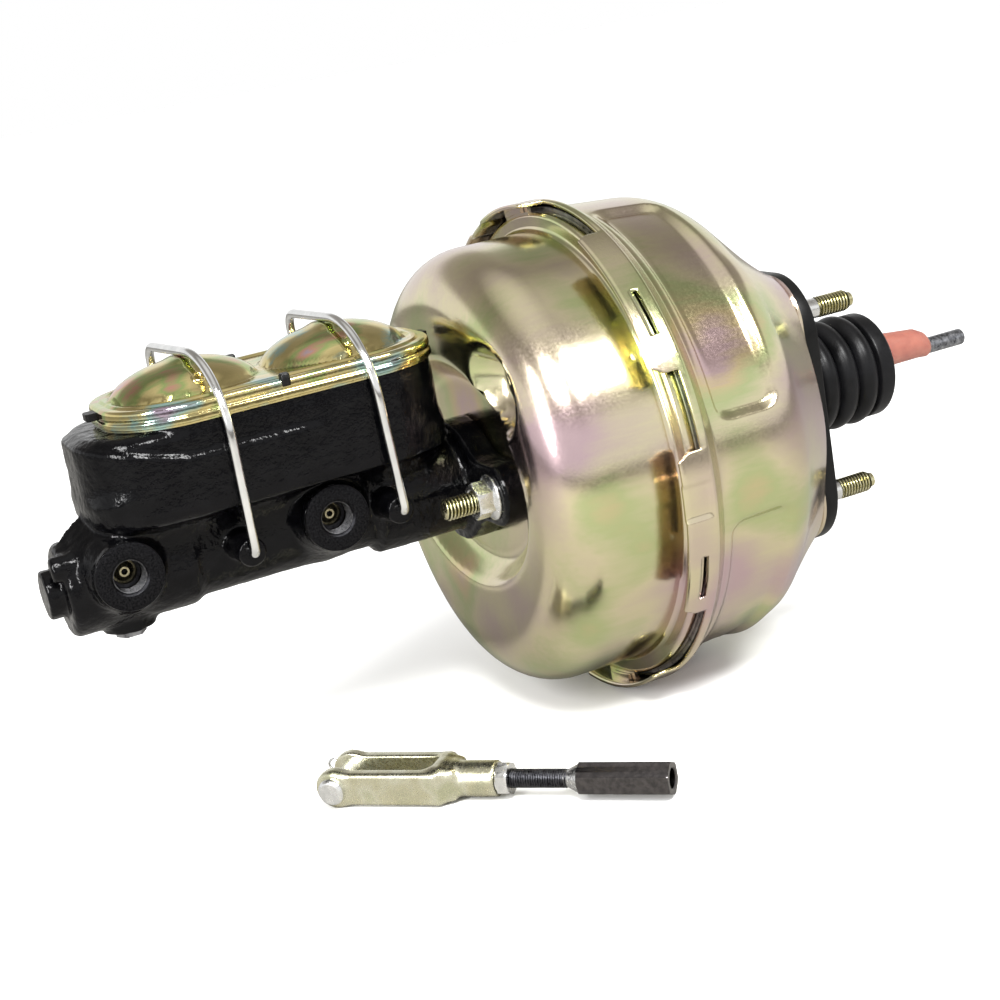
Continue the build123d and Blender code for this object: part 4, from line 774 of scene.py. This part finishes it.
make_piece("front_shell_pressing", [front_shell()], shell_zinc, "housing",
           ["front_shell"], closed=False, wall=SHEET)
lugs = [ring_sector(-103.7, -102.1, 106.0, 109.9, 13.0, SLOT_CLOCK + 60 * k) for k in range(TEETH)]
make_piece("front_shell_lugs", lugs, shell_zinc, "housing", slot="zinc_shell")
make_piece("rear_shell_pressing", [rear_shell()], shell_zinc, "housing",
           ["rear_shell"], closed=False, wall=SHEET, crease=50)
tabs = [ring_sector(-105.6, -104.0, 107.2, 111.2, 9.0, SLOT_CLOCK + 60 * k) for k in range(TEETH)]
make_piece("lanced_tabs", tabs, shell_zinc, "housing", slot="zinc_shell")


# Master cylinder casting

TO_PORTS = (0, -1, 0)
TO_FRONT = (-1, 0, 0)
PORTS = (-316.3, -227.8)
PORT_Z = 6.2
PIVOTS = (-267.5, -202.0)
PIVOT_Z = 3.7
TANK_START, TANK_END = -308.3, -168.6
RIM_Z = 66.0
STUD_OFF = 42.86


def casting_forms(x, y, z):
    """The casting's forms, joined by soft fillets: cylinder, tank, keel, bosses and flange."""

    def round_x(start, end, radius, edge, across=0.0, up=0.0):
        return rounded(np.hypot(y - across, z - up) - radius, between_ends(x, start, end), edge)

    def block(start, end, half, corner, floor, top, edge, taper=0.0):
        inset = taper * (top - z)
        long = between_ends(x, start, end) + inset * 0.2
        plan = rounded(long, np.abs(y) - half + inset, corner)
        return rounded(plan, between_ends(z, floor, top), edge)

    body = round_x(-339.5, -285, 19.9, 3.5)
    body = soft_min(body, round_x(-300, -200, 17.6, 2), 3)
    body = soft_min(body, round_x(-346.4, -330, 10.3, 1.2), 1.5)
    body = soft_min(body, round_x(-343.5, -330, 5.2, 1.5, -12, 12.5), 2)
    body = soft_min(body, round_x(-206, -158, 21.5, 2.5), 3)
    shoulder = np.interp(x, [-324.0, -285.0], [60.5, 50.0])
    swell = 1.6 * smooth(shoulder - z, 0.0, 2.5) * (1 - smooth(x, -240.0, -220.0))
    tank = block(-322.4, TANK_END, 36.7, 30.0, 24.0, 60.5, 5.0) - swell
    rim = block(TANK_START, TANK_END, 37.0, 30.0, 24.0, RIM_Z, 0.8)
    keel = block(-321, -172, 30.0, 12.0, 2.0, 34.0, 2.0, taper=0.55)
    body = soft_min(body, soft_min(tank, rim, 1.5), 4)
    body = soft_min(body, keel, 8)
    for port in PORTS:
        cone = (np.hypot(x - port, z - PORT_Z) - 14.3 - np.maximum(y + 26.0, 0) * 0.42) * 0.9
        boss = np.maximum(cone, np.maximum(-29.9 - y, y + 2.0))
        body = soft_min(body, boss, 2.5)
    for pivot in PIVOTS:
        boss = rounded(np.hypot(x - pivot, z - PIVOT_Z) - 6.0, between_ends(y, -37, 37), 1.2)
        body = soft_min(body, boss, 3.5)
    screw_boss = np.maximum(np.hypot(x + 315.4, y) - 11.0, np.maximum(-22.4 - z, z))
    body = soft_min(body, screw_boss, 3)
    ears = np.hypot(np.maximum(np.abs(y) - STUD_OFF, 0), z) - 13.5
    plan = soft_min(np.hypot(y, z) - 27.0, ears, 9)
    body = soft_min(body, rounded(plan, np.abs(x + 157.0) - 6.5, 1.6), 3)
    return np.minimum(body, round_x(-152, -143.6, 17.0, 0.8))


def master_casting():
    """The forms with their ports bored out, and the sand's unevenness where nothing is machined."""
    step = 1.05
    low = np.array([-349.0, -61.0, -28.0])
    x, y, z = field_grid(low, np.array([-141.0, 61.0, 71.0]), step)
    body = casting_forms(x, y, z)
    for port in PORTS:
        bore = np.maximum(np.hypot(x - port, z - PORT_Z) - 7.4, y + 14.0)
        body = np.maximum(body, -bore)
    places = np.stack(np.broadcast_arrays(x, y, z), axis=-1)
    near = np.abs(body) < 3
    beyond = places[near] + 500
    sand = np.zeros_like(body)
    sand[near] = 0.16 * lattice_noise(beyond, 3.1, 3) + 0.1 * lattice_noise(beyond, 1.7, 4)
    machined = smooth(z, 63.5, 65.0) + smooth(x, -152.5, -151) + smooth(-y, 28.0, 29.5)
    body = body + sand * np.clip(1 - machined, 0, 1)
    return surface_net(body, low, step)


make_piece("master_cylinder_casting", [master_casting()], black_iron, "housing",
           ["cylinder_body"], closed=False, crease=60)


def port_insert(x):
    """Machined face, tapped bore and floor of one outlet, turned about the port's axis. Stations
    run out of the casting."""
    profile = [
        (28.6, 14.2), (30.45, 13.9), (30.45, 7.9), (29.6, 6.9), (22.0, 6.9),
        (20.5, 6.4), (20.4, 5.0), (17.0, 4.9), (17.0, 0.2), (15.5, 0.2), (15.5, 14.0), (28.6, 14.2),
    ]
    return lathe(soften(profile, 0.25, steps=2), (x, 0, PORT_Z), TO_PORTS, 72)


def port_thread(x):
    """Eight turns of one outlet's thread, as a fine helix 1 mm apart."""
    turns = np.linspace(0, 8, 8 * 32)
    across, up = 6.75 * np.cos(2 * np.pi * turns), 6.75 * np.sin(2 * np.pi * turns)
    helix = np.stack([x + across, -21.4 - turns, PORT_Z + up], -1)
    return tube(helix, (0, 1, 0), 0.34, 8)


def tube_seat(x):
    """Brass cone that a flared tube seals on, with its hole."""
    profile = [
        (15.6, 1.2), (15.6, 5.1), (18.0, 5.1), (18.0, 4.2), (20.4, 2.1), (20.4, 1.2), (15.6, 1.2),
    ]
    return lathe(soften(profile, 0.15, steps=2), (x, 0, PORT_Z), TO_PORTS, 48)


make_piece("outlet_faces", [port_insert(x) for x in PORTS], machined_iron, "housing",
           slot="black_iron", crease=30)
make_piece("outlet_threads", [port_thread(x) for x in PORTS], bore_steel, "housing", slot="black_iron")
make_piece("brass_tube_seats", [tube_seat(x) for x in PORTS], seat_brass, "housing",
           ["tube_seats"], crease=30)


# Cover and gasket

COVER_MIDDLE = (TANK_START + TANK_END) / 2
COVER_HALF = (TANK_END - TANK_START) / 2 + 1.7
COVER_WIDE = 38.7
COVER_CORNER = 31.7
COVER_Z = 69.6
DOMES = (-272.0, -206.5)
SADDLES = (-270.2, -207.5)
VENTS = (-270.4, -205.1)


def cover_height(x, y):
    """Rise of the two domes and their saddles above the cover's flat."""
    rise = 0
    for middle, saddle in zip(DOMES, SADDLES):
        spot = ((x - middle) / 31.0) ** 2 + (y / 27.0) ** 2
        rise = rise + 11.9 * np.maximum(1 - spot, 0) ** 0.66
        off = x - saddle
        lip = 1.8 * np.exp(-(off / 5.0) ** 2) - 1.2 * np.exp(-(off / 1.9) ** 2)
        rise = rise + lip * (1 - smooth(np.abs(y), 6.0, 12.0))
    return rise


def cover():
    """Pressing: rings that follow the outline inwards, at the height of the rim, the step and the
    domes, then the same rings back below for the sheet's thickness."""
    rim = soften([
        (0.9, 61.8), (0.0, 62.1), (0.1, 64.2), (1.0, 65.2), (0.3, 66.2), (0.35, COVER_Z),
        (4.4, COVER_Z), (5.4, COVER_Z + 0.9), (7.5, COVER_Z + 0.9), (9.0, COVER_Z), (11, COVER_Z),
    ], [0.3, 0.8, 0.6, 0.6, 2.0, 0.6, 0.6, 0.8, 0.8], steps=5)
    inner = np.column_stack([np.linspace(11, COVER_WIDE - 0.02, 30)[1:], np.full(29, COVER_Z)])
    top = np.concatenate([rim, inner])
    under = top[::-1].copy()
    under[:, 1] -= 1.1
    under[:, 0] += 0.9 * (under[:, 0] < 1.5)
    under[-1] = (1.3, 61.9)
    rows = []
    counts = {"arc": 20, "long_side": 60, "short_side": 8}
    for inset, height in np.concatenate([top, under]):
        corner = max(COVER_CORNER - inset, 0.02)
        loop = oblong(COVER_HALF - inset, COVER_WIDE - inset, corner, **counts)
        loop[:, 0] += COVER_MIDDLE
        level = height + cover_height(loop[:, 0], loop[:, 1]) * (inset > 4)
        rows.append(np.column_stack([loop, level]))
    points = np.array(rows)
    points = np.concatenate([points, points[:1]])
    return points, grid_faces(len(points), points.shape[1])


make_piece("reservoir_cover_pressing", [cover()], cover_zinc, "housing", ["reservoir_cover"], crease=45)

VENT_RING = [(-1.5, 3.4), (0.4, 3.2), (1.2, 2.2), (0.6, 1.5), (-1.5, 1.5), (-1.5, 3.4)]
# Painted shade: a dark disc inside each vent ring stands for the dark inside of the vent hole.
VENT_SHADE_DISC = [(-1.0, 0.1), (-0.1, 0.1), (-0.1, 1.55), (-1.0, 1.55)]
VENT_AXIS = (0, -0.55, 0.84)
vent_places = [(x, -21.6, 75.3) for x in VENTS]
vent_rings = [lathe(soften(VENT_RING, 0.3, steps=3), place, VENT_AXIS, 40) for place in vent_places]
vent_holes = [lathe(VENT_SHADE_DISC, place, VENT_AXIS, 40) for place in vent_places]
make_piece("cover_vent_rings", vent_rings, cover_zinc, "housing", slot="zinc_cover", crease=45)
# The dark discs in the vent rings are painted shade for the holes.
make_piece("cover_vent_hole_painted_shade", vent_holes, machined_iron, "housing", slot="zinc_cover", crease=45)

GASKET_LEVELS = [
    (66.9, 36.9), (66.1, 36.9), (66.1, 0.2), (66.3, 0), (68.2, 0), (68.4, 0.2), (68.4, 36.9),
]
END_TAB_LEVELS = [(65.2, 3.99), (65.2, 0.3), (65.5, 0), (68.1, 0), (68.4, 0.3), (68.4, 3.99)]
SIDE_TAB_LEVELS = [(66.5, 1.99), (66.5, 0.2), (66.8, 0), (71.0, 0), (71.7, 0.5), (71.8, 1.99)]
tab_counts = {"arc": 4, "long_side": 4, "short_side": 4}
gasket = [slab((COVER_MIDDLE, 0, 0), 69.8, 37.0, 30.0, GASKET_LEVELS)]
for start, end in ((-314.2, -300.0), (-178.0, -163.6)):
    middle, half = (start + end) / 2, (end - start) / 2
    gasket.append(slab((middle, 0, 0), half, 4.0, 1.5, END_TAB_LEVELS, **tab_counts))
for y in (-37.0, 37.0):
    gasket.append(slab((-240.1, y, 0), 2.0, 2.1, 1.2, SIDE_TAB_LEVELS, **tab_counts))
make_piece("reservoir_cover_gasket", gasket, pad_rubber, "housing", ["reservoir_gasket"])


# Bails


def bail(pivot, near_x, far_x):
    """Bright wire: hooked ends in the bosses, two legs and a bar over the dome, whose far end
    sags a little, as sprung wire does."""
    corners = [
        (pivot, -31.0, PIVOT_Z), (pivot, -41.5, PIVOT_Z), (near_x, -41.5, 85.2),
        (far_x, 41.5, 83.2), (pivot, 41.5, PIVOT_Z), (pivot, 31.0, PIVOT_Z),
    ]
    path = spaced(soften(corners, [3.4, 32.0, 10.0, 3.4], steps=14), 2.6)
    lean = unit(np.array([(near_x + far_x) / 2 - pivot, 0, 80.5]))
    return tube(path, np.cross(lean, (0, 1, 0)), 1.95, 24)


front_wire, rear_wire = bail(PIVOTS[0], -267.2, -274.2), bail(PIVOTS[1], -205.4, -210.2)
make_piece("front_wire_bail", [front_wire], wire_zinc, "front_bail", ["front_bail"])
make_piece("rear_wire_bail", [rear_wire], wire_zinc, "rear_bail", ["rear_bail"])


# Studs and nuts

FIREWALL = [(y, z) for y in (-STUD_OFF, STUD_OFF) for z in (-STUD_OFF, STUD_OFF)]
MOUNT = [(-STUD_OFF, 0.0), (STUD_OFF, 0.0)]
THREAD_RADIUS = 4.76
THREAD_PITCH = 1.5875
VALLEY_RADIUS = 4.24
NUT_SEAT = -163.55
FIREWALL_SHANK = soften([
    (-18.1, 0.1), (-18.1, 8.5), (-16.1, 8.5), (-16.1, 5.1), (-3.7, 5.1),
    (-3.4, 4.55), (6.6, 4.55), (6.6, 0.1),
], 0.3, steps=2)
FIREWALL_TIP = soften([(22.4, 0.1), (22.4, 3.6), (25.8, 3.2), (25.8, 0.1)], 0.5, steps=3)
MOUNT_SHANK = soften([
    (-143.9, 0.1), (-143.9, 8.5), (-145.9, 8.5), (-145.9, 4.5), (-164, 4.5), (-164, 0.1),
], 0.4, steps=2)
NUT_SKIRT = soften([
    (0, 4.9), (0, 9.9), (1.1, 9.9), (2.6, 7.4), (2.6, 4.9), (0, 4.9),
], [0.2, 0.35, 0.4, 0.2], steps=3)
NUT_HEAD = [
    (1.4, 4.9), (1.4, 20), (8.2, 20), (8.7, 7.9), (9.1, 7.2), (9.1, 5.5), (8.6, 4.9), (1.4, 4.9),
]


def valley(start, end, origin, axis=(1, 0, 0)):
    """Dark core at the bottom of a stud's thread: painted shade that stands for the shade in the thread's
    valleys.
    """
    profile = [(start, 0.1), (start, VALLEY_RADIUS), (end, VALLEY_RADIUS), (end, 0.1)]
    return lathe(profile, origin, axis, 40)


firewall_set, shank_set, valley_set = [], [], []
for y, z in FIREWALL:
    place = (0, y, z)
    shank_set.append(lathe(FIREWALL_SHANK, place, columns=40))
    valley_set.append(valley(6.4, 23.0, place))
    firewall_set.append(thread(6.2, 23.2, THREAD_RADIUS, THREAD_PITCH, place, columns=36))
    firewall_set.append(lathe(FIREWALL_TIP, place, columns=32))
mount_set, nuts = [], []
for y, z in MOUNT:
    place, seat = (0, y, z), (NUT_SEAT, y, z)
    valley_set.append(valley(172.0, 185.6, place, TO_FRONT))
    mount_set.append(lathe(MOUNT_SHANK, place, columns=40))
    mount_set.append(thread(163.0, 186.1, THREAD_RADIUS, THREAD_PITCH, place, TO_FRONT, columns=36))
    nuts += [lathe(NUT_SKIRT, seat, TO_FRONT, 72), hexagon(14.29, NUT_HEAD, seat, TO_FRONT)]
make_piece("firewall_stud_set", firewall_set, stud_zinc, "housing", ["firewall_studs"], crease=50)
make_piece("firewall_stud_shanks", shank_set, silver_zinc, "housing", slot="zinc_stud", crease=50)
make_piece("master_cylinder_stud_set", mount_set, stud_zinc, "housing",
           ["master_cylinder_studs"], crease=50)
# The dark cores inside the threads are painted shade for the thread valleys.
make_piece("stud_thread_valley_shade", valley_set, valley_shade, "housing", slot="zinc_stud", crease=50)
make_piece("flange_nut_pair", nuts, silver_zinc, "housing", ["flange_nuts"], crease=28)


# Firewall gasket, boot, sleeve and rod

PAD_LEVELS = [
    (-11.5, 33.0), (-11.5, 0.6), (-11.2, 0.15), (-10.5, 0), (-5.2, 0), (-4.6, 0.15),
    (-4.3, 0.6), (-4.3, 33.0), (-11.5, 33.0),
]
PAD_OPENING = 25.6


def firewall_pad():
    """Rounded square plate whose innermost loops are drawn into a round opening."""
    counts = {"arc": 20, "long_side": 16, "short_side": 16}
    points, faces = slab((0, 0, -1.5), 60.0, 62.5, 27.0, PAD_LEVELS, plane="yz", **counts)
    loops = points.reshape(len(PAD_LEVELS), -1, 3)
    opening = loops[[0, -2, -1], :, 1:]
    loops[[0, -2, -1], :, 1:] = opening * PAD_OPENING / np.linalg.norm(opening, axis=-1, keepdims=True)
    return loops, faces


make_piece("firewall_pad", [firewall_pad()], pad_rubber, "housing", ["firewall_gasket"], crease=60)

BOOT_ROOT = 22.2
BOOT_INSIDE = 20.3
FOLD_START, FOLD_END = 17.65, 50.35
FOLD_PITCH = 10.9


def folds(inset):
    """Three folds 10.9 mm apart: the radius rises from each root with the root of a sine's size,
    so the crests are round and the roots narrow."""
    share = (1 - np.cos(np.linspace(0, np.pi, 19))) / 2
    station = np.concatenate([(fold + share)[: 18 + (fold == 2)] for fold in range(3)])
    radius = BOOT_ROOT - inset + 4.4 * np.sqrt(np.abs(np.sin(np.pi * station)))
    return np.column_stack([FOLD_START + FOLD_PITCH * station, radius])


def boot_shape():
    """Lip, three folds and end wall, outside and inside. The hole in the end wall is raised to
    the sleeve's wide end."""
    start = [(-3.7, 22.7), (-3.7, 25.4), (13.4, 25.4), (FOLD_START, BOOT_ROOT)]
    end = [(FOLD_END, BOOT_ROOT), (51.5, 25.3), (59.8, 25.3), (59.8, 9.8)]
    inner_end = [(58.0, 9.8), (58.0, 23.2), (53.0, 23.2), (FOLD_END, BOOT_INSIDE)]
    inner_start = [(FOLD_START, BOOT_INSIDE), (13.0, 22.7), (-3.7, 22.7)]
    profile = np.concatenate([
        soften(start, [1.2, 3.2], steps=5)[:-1], folds(0), soften(end, [1.2, 2.2], steps=5)[1:],
        soften(inner_end, [1.5, 1.0], steps=3)[:-1], folds(1.9)[::-1],
        soften(inner_start, 2.0, steps=3)[1:],
    ])
    points, faces = lathe(profile, columns=112)
    to_hole = smooth(-np.hypot(points[..., 1], points[..., 2]), -21.0, -10.0)
    points[..., 2] += 4.2 * smooth(points[..., 0], 54.0, 58.0) * to_hole
    return points, faces


boot = make_piece("pushrod_boot", [boot_shape()], boot_rubber, None, ["boot"], crease=60)
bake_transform(boot)


def sleeve():
    """Tapered sleeve whose axis climbs from the rod towards its wide end: rings at stations whose
    centre height and radius follow the outline, closed round the rod's bore."""
    corners = [
        (52.0, 5.0), (52.0, 9.3), (89.5, 7.3), (94.4, 6.3), (96.3, 4.7), (96.3, 4.02),
        (52.0, 4.02), (52.0, 5.0),
    ]
    outline = spaced(soften(corners, [0.8, 3.0, 1.6, 0.6, 0.2, 0.2], steps=6), 3.0)
    height = np.interp(outline[:, 0], [52.0, 89.5, 94.0, 96.3], [4.8, 2.9, 1.6, 0.5])
    height = height * smooth(outline[:, 1], 4.1, 4.6)
    turn = full_turn(72)
    y = outline[:, 1:] * np.sin(turn)
    z = outline[:, 1:] * np.cos(turn) + height[:, None]
    x = np.broadcast_to(outline[:, :1], y.shape)
    return np.stack([x, y, z], axis=-1), grid_faces(len(outline), 72)


make_piece("red_rod_sleeve", [sleeve()], red_plastic, "pushrod", ["rod_sleeve"], crease=50)
rod_outline = soften([
    (-28.0, 0.05), (-26.0, 4.5), (-22.0, 6.0), (-17.5, 4.2), (-16.4, 3.5), (20.0, 3.5), (20.0, 9.4),
    (21.5, 9.4), (21.5, 4.0), (117.3, 4.0), (118.2, 3.1), (118.2, 0.05),
], [2.2, 2.6, 1.5, 0.6, 0.3, 0.3, 0.3, 0.3, 0.5, 0.4], steps=4)
rod = lathe(rod_outline, columns=64)
make_piece("pushrod_steel", [rod], rod_steel, "pushrod", ["input_rod"], crease=40)


# Springs, each a coil wound from its fixed end to its free end

# Piece, node, body, joint, fixed and free end, coil radius, wire radius, turns, the joint's travel
SPRINGS = [
    ("power_return_coil", "return_spring", "housing", "power_stroke",
     (-145.9, -92.0), 30.0, 1.6, 5, 32.0),
    ("secondary_coil", "secondary_spring", "housing", "secondary_stroke",
     (-334.5, -283.3), 9.0, 0.9, 5, 16.0),
    ("primary_coil", "primary_spring", "secondary_piston", "primary_stroke",
     (-243.0, -196.8), 9.0, 0.9, 5, 16.0),
    ("valve_rod_coil", "rod_spring", "power_piston", "valve_travel",
     (8.0, 19.4), 8.6, 0.6, 4, 2.0),
]
for name, node, body, joint, (fixed, free), radius, wire, turns, travel in SPRINGS:
    wound = coil(fixed, free, radius, wire, turns)
    spring = make_piece(name, [wound], spring_steel, body, [node], crease=60)
    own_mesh(spring)


# Vacuum check valve on the far side

VALVE_PLACE = (0, 53, 46)
HOSE_PLACE = (-176, 53, 46)
valve_outline = soften([
    (-180.4, 0.1), (-180.4, 4.4), (-164.6, 4.9), (-162.9, 7.6), (-153.9, 7.6), (-153.9, 6.0),
    (-143.8, 6.0), (-143.8, 0.1),
], [1.6, 0.8, 0.8, 0.5, 0.2, 0.6], steps=4)
barb = [(0, 0.1), (0, 4.3)]
for ridge in (14.6, 18.6, 22.6):
    barb += [(ridge, 4.2), (ridge + 0.1, 4.8), (ridge + 3.7, 4.2)]
barb += [(26.8, 4.2), (26.8, 3.0), (22.0, 3.0), (22.0, 0.1)]
valve = [
    lathe(valve_outline, VALVE_PLACE, columns=56),
    lathe(soften(barb, 0.15, steps=2), HOSE_PLACE, (0, 1, 0), 48),
]
make_piece("vacuum_check_valve", valve, nylon, "check_valve", ["check_valve"], crease=35)
grommet_outline = soften([
    (-153.4, 6.1), (-153.4, 11.0), (-152.6, 11.8), (-151.4, 11.8), (-151.3, 8.6), (-149.7, 8.6),
    (-149.6, 11.8), (-147.6, 11.8), (-147.6, 6.1), (-153.4, 6.1),
], 0.4, steps=3)
grommet = lathe(grommet_outline, VALVE_PLACE, columns=56)
make_piece("valve_hole_grommet", [grommet], boot_rubber, "housing", ["valve_grommet"])


# Loose kit

KIT_PLACE = Matrix.Translation((-254.2, -27.3, 8.3 - 111.8))
KIT = KIT_PLACE @ Matrix.Rotation(math.radians(-46.1), 4, "Z")
PIN_X = 8.3
HEX_FLATS = 12.7


def forged_clevis():
    """Surface of the fork, its eyes, slot, shoulder and neck, with forging radii."""
    step = 0.45
    low = np.array([-1.5, -13.8, -9.8])
    x, y, z = field_grid(low, np.array([81.0, 13.8, 9.8]), step)

    def box(start, end, half_y, half_z, edge):
        inner_x = between_ends(x, start, end) + edge
        inner_y = np.abs(y) - half_y + edge
        inner_z = np.abs(z) - half_z + edge
        outside = np.sqrt(sum(np.maximum(inner, 0) ** 2 for inner in (inner_x, inner_y, inner_z)))
        return outside + np.minimum(np.maximum(np.maximum(inner_x, inner_y), inner_z), 0) - edge

    fork = box(7.0, 57.0, 12.0, 7.2, 2.0)
    eye = rounded(np.hypot(x - PIN_X, z) - 8.3, np.abs(y) - 12.0, 2.0)
    body = soft_min(fork, eye, 2.5)
    body = soft_min(body, box(50.0, 63.0, 9.4, 7.2, 3.4), 4.0)
    neck = rounded(np.hypot(y, z) - 7.5, np.abs(x - 66.5) - 12.6, 0.8)
    body = soft_min(body, neck, 1.6)
    slot = rounded(np.abs(y) - 6.35, x - 52.0, 3)
    body = soft_max(body, -slot, 1.2)
    bore = np.maximum(np.hypot(y, z) - 4.25, 50 - x)
    body = np.maximum(body, -bore)
    return surface_net(body, low, step)


def cotter_clip():
    """Spring clip through the pin's end: a round eye and two legs that spread at their tips."""
    turn = np.radians(np.linspace(150, -150, 26))
    eye_path = np.stack([-3.3 - 2.4 * np.cos(turn), np.full(26, 13.5), 2.4 * np.sin(turn)], -1)
    wires = [tube(eye_path, (0, 1, 0), 0.6, 12)]
    for way in (-1, 1):
        corners = [(-2.4, 1.1), (0.5, 0.62), (14.0, 0.62), (15.6, 2.4)]
        leg = [(x, 13.5, way * off) for x, off in corners]
        wires.append(tube(spaced(soften(leg, 1.2, steps=4), 1.0), (0, 1, 0), 0.55, 12))
    return wires


def kit_piece(name, shapes, material, body, replaces=(), **settings):
    make_piece(name, [moved(shape, KIT) for shape in shapes], material, body, replaces, **settings)


pin_outline = soften([
    (-15.3, 0.1), (-15.3, 4.6), (-14.0, 5.8), (-12.3, 5.8), (-12.3, 4.7), (16.6, 4.7), (17.0, 4.2),
    (17.0, 0.1),
], [1.6, 1.2, 0.3, 0.2, 0.3, 0.4], steps=4)
nut_profile = [
    (79.4, 4.1), (79.4, 6.4), (80.0, 7.25), (84.1, 7.25), (84.7, 6.4), (84.7, 4.1), (79.4, 4.1),
]
taper_outline = soften([
    (107.8, 0.1), (107.8, 3.4), (109.0, 3.5), (114.6, 6.25), (114.6, 0.1),
], 0.3, steps=3)
hex_profile = [
    (114.4, 4.0), (114.4, 6.2), (114.9, 20), (152.6, 20), (153.1, 6.8), (153.1, 4.6),
    (152.7, 4.05), (124.0, 4.05), (124.0, 0.1), (114.4, 0.1),
]
pin = lathe(pin_outline, (PIN_X, 0, 0), (0, 1, 0), 56)
jam_nut, adapter_hex = hexagon(HEX_FLATS, nut_profile, phase=-3), hexagon(HEX_FLATS, hex_profile, phase=-3)
adapter_thread, adapter_taper = thread(66.0, 109.4, 3.97, 1.06), lathe(taper_outline, columns=56)
kit_piece("forged_clevis", [forged_clevis()], forged_zinc, "clevis", ["clevis"], closed=False, crease=60)
kit_piece("bright_clevis_pin", [pin], silver_zinc, "clevis_pin", ["clevis_pin"], crease=35)
kit_piece("cotter_clip", cotter_clip(), silver_zinc, "clevis_pin", ["pin_clip"])
kit_piece("bright_jam_nut", [jam_nut], silver_zinc, "jam_nut", ["jam_nut"], crease=28)
kit_piece("adapter_thread", [adapter_thread], spring_steel, "housing", slot="dark_steel", crease=50)
kit_piece("adapter_taper", [adapter_taper], bright_steel, "housing", slot="dark_steel", crease=35)
kit_piece("adapter_hex", [adapter_hex], dark_steel, "housing", ["rod_adapter"], crease=28)


# Floor, light and camera

FLOOR_Z = -0.1119
floor_corners = [(x, y, FLOOR_Z) for x, y in ((-12, -1.1), (12, -1.1), (12, 12), (-12, 12))]
floor_mesh = bpy.data.meshes.new("studio_floor")
floor_mesh.from_pydata(floor_corners, [], [(0, 1, 2, 3)])
floor = bpy.data.objects.new("studio_floor", floor_mesh)
bpy.context.scene.collection.objects.link(floor)
floor_paint, floor_tree, floor_shader = start_material("matt_white_floor_painted_grey_reflection")
# Painted reflection: the floor is white where seen straight on, and grey where glossy rays reflect it in
# the metal.
floor_path = add(floor_tree, "ShaderNodeLightPath").outputs["Is Glossy Ray"]
floor_tone_with_painted_reflection = add(floor_tree, "ShaderNodeMix", {"Factor": floor_path}, data_type="RGBA")
floor_tone_with_painted_reflection.inputs["A"].default_value = colour("F8F8F7")
floor_tone_with_painted_reflection.inputs["B"].default_value = colour("92908C")
link(floor_tree, floor_tone_with_painted_reflection.outputs["Result"], floor_shader, "Base Color")
floor_shader.inputs["Roughness"].default_value = 1.0
floor_shader.inputs["Specular IOR Level"].default_value = 0.0
floor_mesh.materials.append(floor_paint)


def softbox(name, place, width, height, power):
    """White light with a rectangular face, aimed at the middle of the unit."""
    light = bpy.data.lights.new(name, "AREA")
    light.shape = "RECTANGLE"
    light.size, light.size_y = width, height
    light.energy = power
    lamp = bpy.data.objects.new(name, light)
    lamp.location = place
    aim = Vector((-0.12, 0, 0)) - Vector(place)
    lamp.rotation_euler = aim.to_track_quat("-Z", "Y").to_euler()
    bpy.context.scene.collection.objects.link(lamp)


softbox("key_softbox", (-0.5, -0.9, 1.0), 0.5, 0.3, 22)
softbox("left_strip", (-1.1, -0.5, 0.5), 0.15, 0.6, 12)
softbox("right_softbox", (0.2, -0.72, 0.8), 0.34, 0.26, 12)

world = bpy.data.worlds.new("studio")
bpy.context.scene.world = world
world.use_nodes = True
sky = world.node_tree
direction = add(sky, "ShaderNodeTexCoord").outputs["Generated"]
rise = add(sky, "ShaderNodeSeparateXYZ", {"Vector": direction}).outputs["Z"]
span = {"Value": rise, "From Min": -1.0, "From Max": 1.0}
rise = add(sky, "ShaderNodeMapRange", span).outputs["Result"]
panels = ramp(sky, rise, [
    (0.00, "74706C"), (0.475, "74706C"), (0.50, "FFFFFF"), (0.68, "FFFFFF"),
    (0.74, "AEAAA6"), (0.90, "928E88"), (0.96, "D2D0CC"), (1.00, "ECEAE8"),
])
rays = add(sky, "ShaderNodeLightPath").outputs
lit = add(sky, "ShaderNodeMix", {"Factor": rays["Is Diffuse Ray"]}, data_type="RGBA")
sky.links.new(panels, lit.inputs["A"])
lit.inputs["B"].default_value = (1.15, 1.15, 1.15, 1)
seen = add(sky, "ShaderNodeMix", {"Factor": rays["Is Camera Ray"]}, data_type="RGBA")
sky.links.new(lit.outputs["Result"], seen.inputs["A"])
seen.inputs["B"].default_value = (1, 1, 1, 1)
sky.links.new(seen.outputs["Result"], sky.nodes["Background"].inputs["Color"])

bpy.context.scene.view_settings.view_transform = "Standard"

# The camera's axes, and its place in metres
RIGHT = (0.8913988, -0.4205305, -0.1690038)
UP = (0.2599867, 0.1690227, 0.9507041)
BACK = (-0.3712346, -0.8913952, 0.2599990)
EYE = (-0.44585, -0.72865, 0.19776)
SENSOR_MM = 36.0
FOCAL_SHARE = 1.82517
camera_data = bpy.data.cameras.new("photo_camera")
camera_data.sensor_width = SENSOR_MM
camera_data.lens = SENSOR_MM * FOCAL_SHARE
camera = bpy.data.objects.new("photo_camera", camera_data)
rows = [(RIGHT[i], UP[i], BACK[i], EYE[i]) for i in range(3)]
camera.matrix_world = Matrix([*rows, (0, 0, 0, 1)])
bpy.context.scene.collection.objects.link(camera)
bpy.context.scene.camera = camera
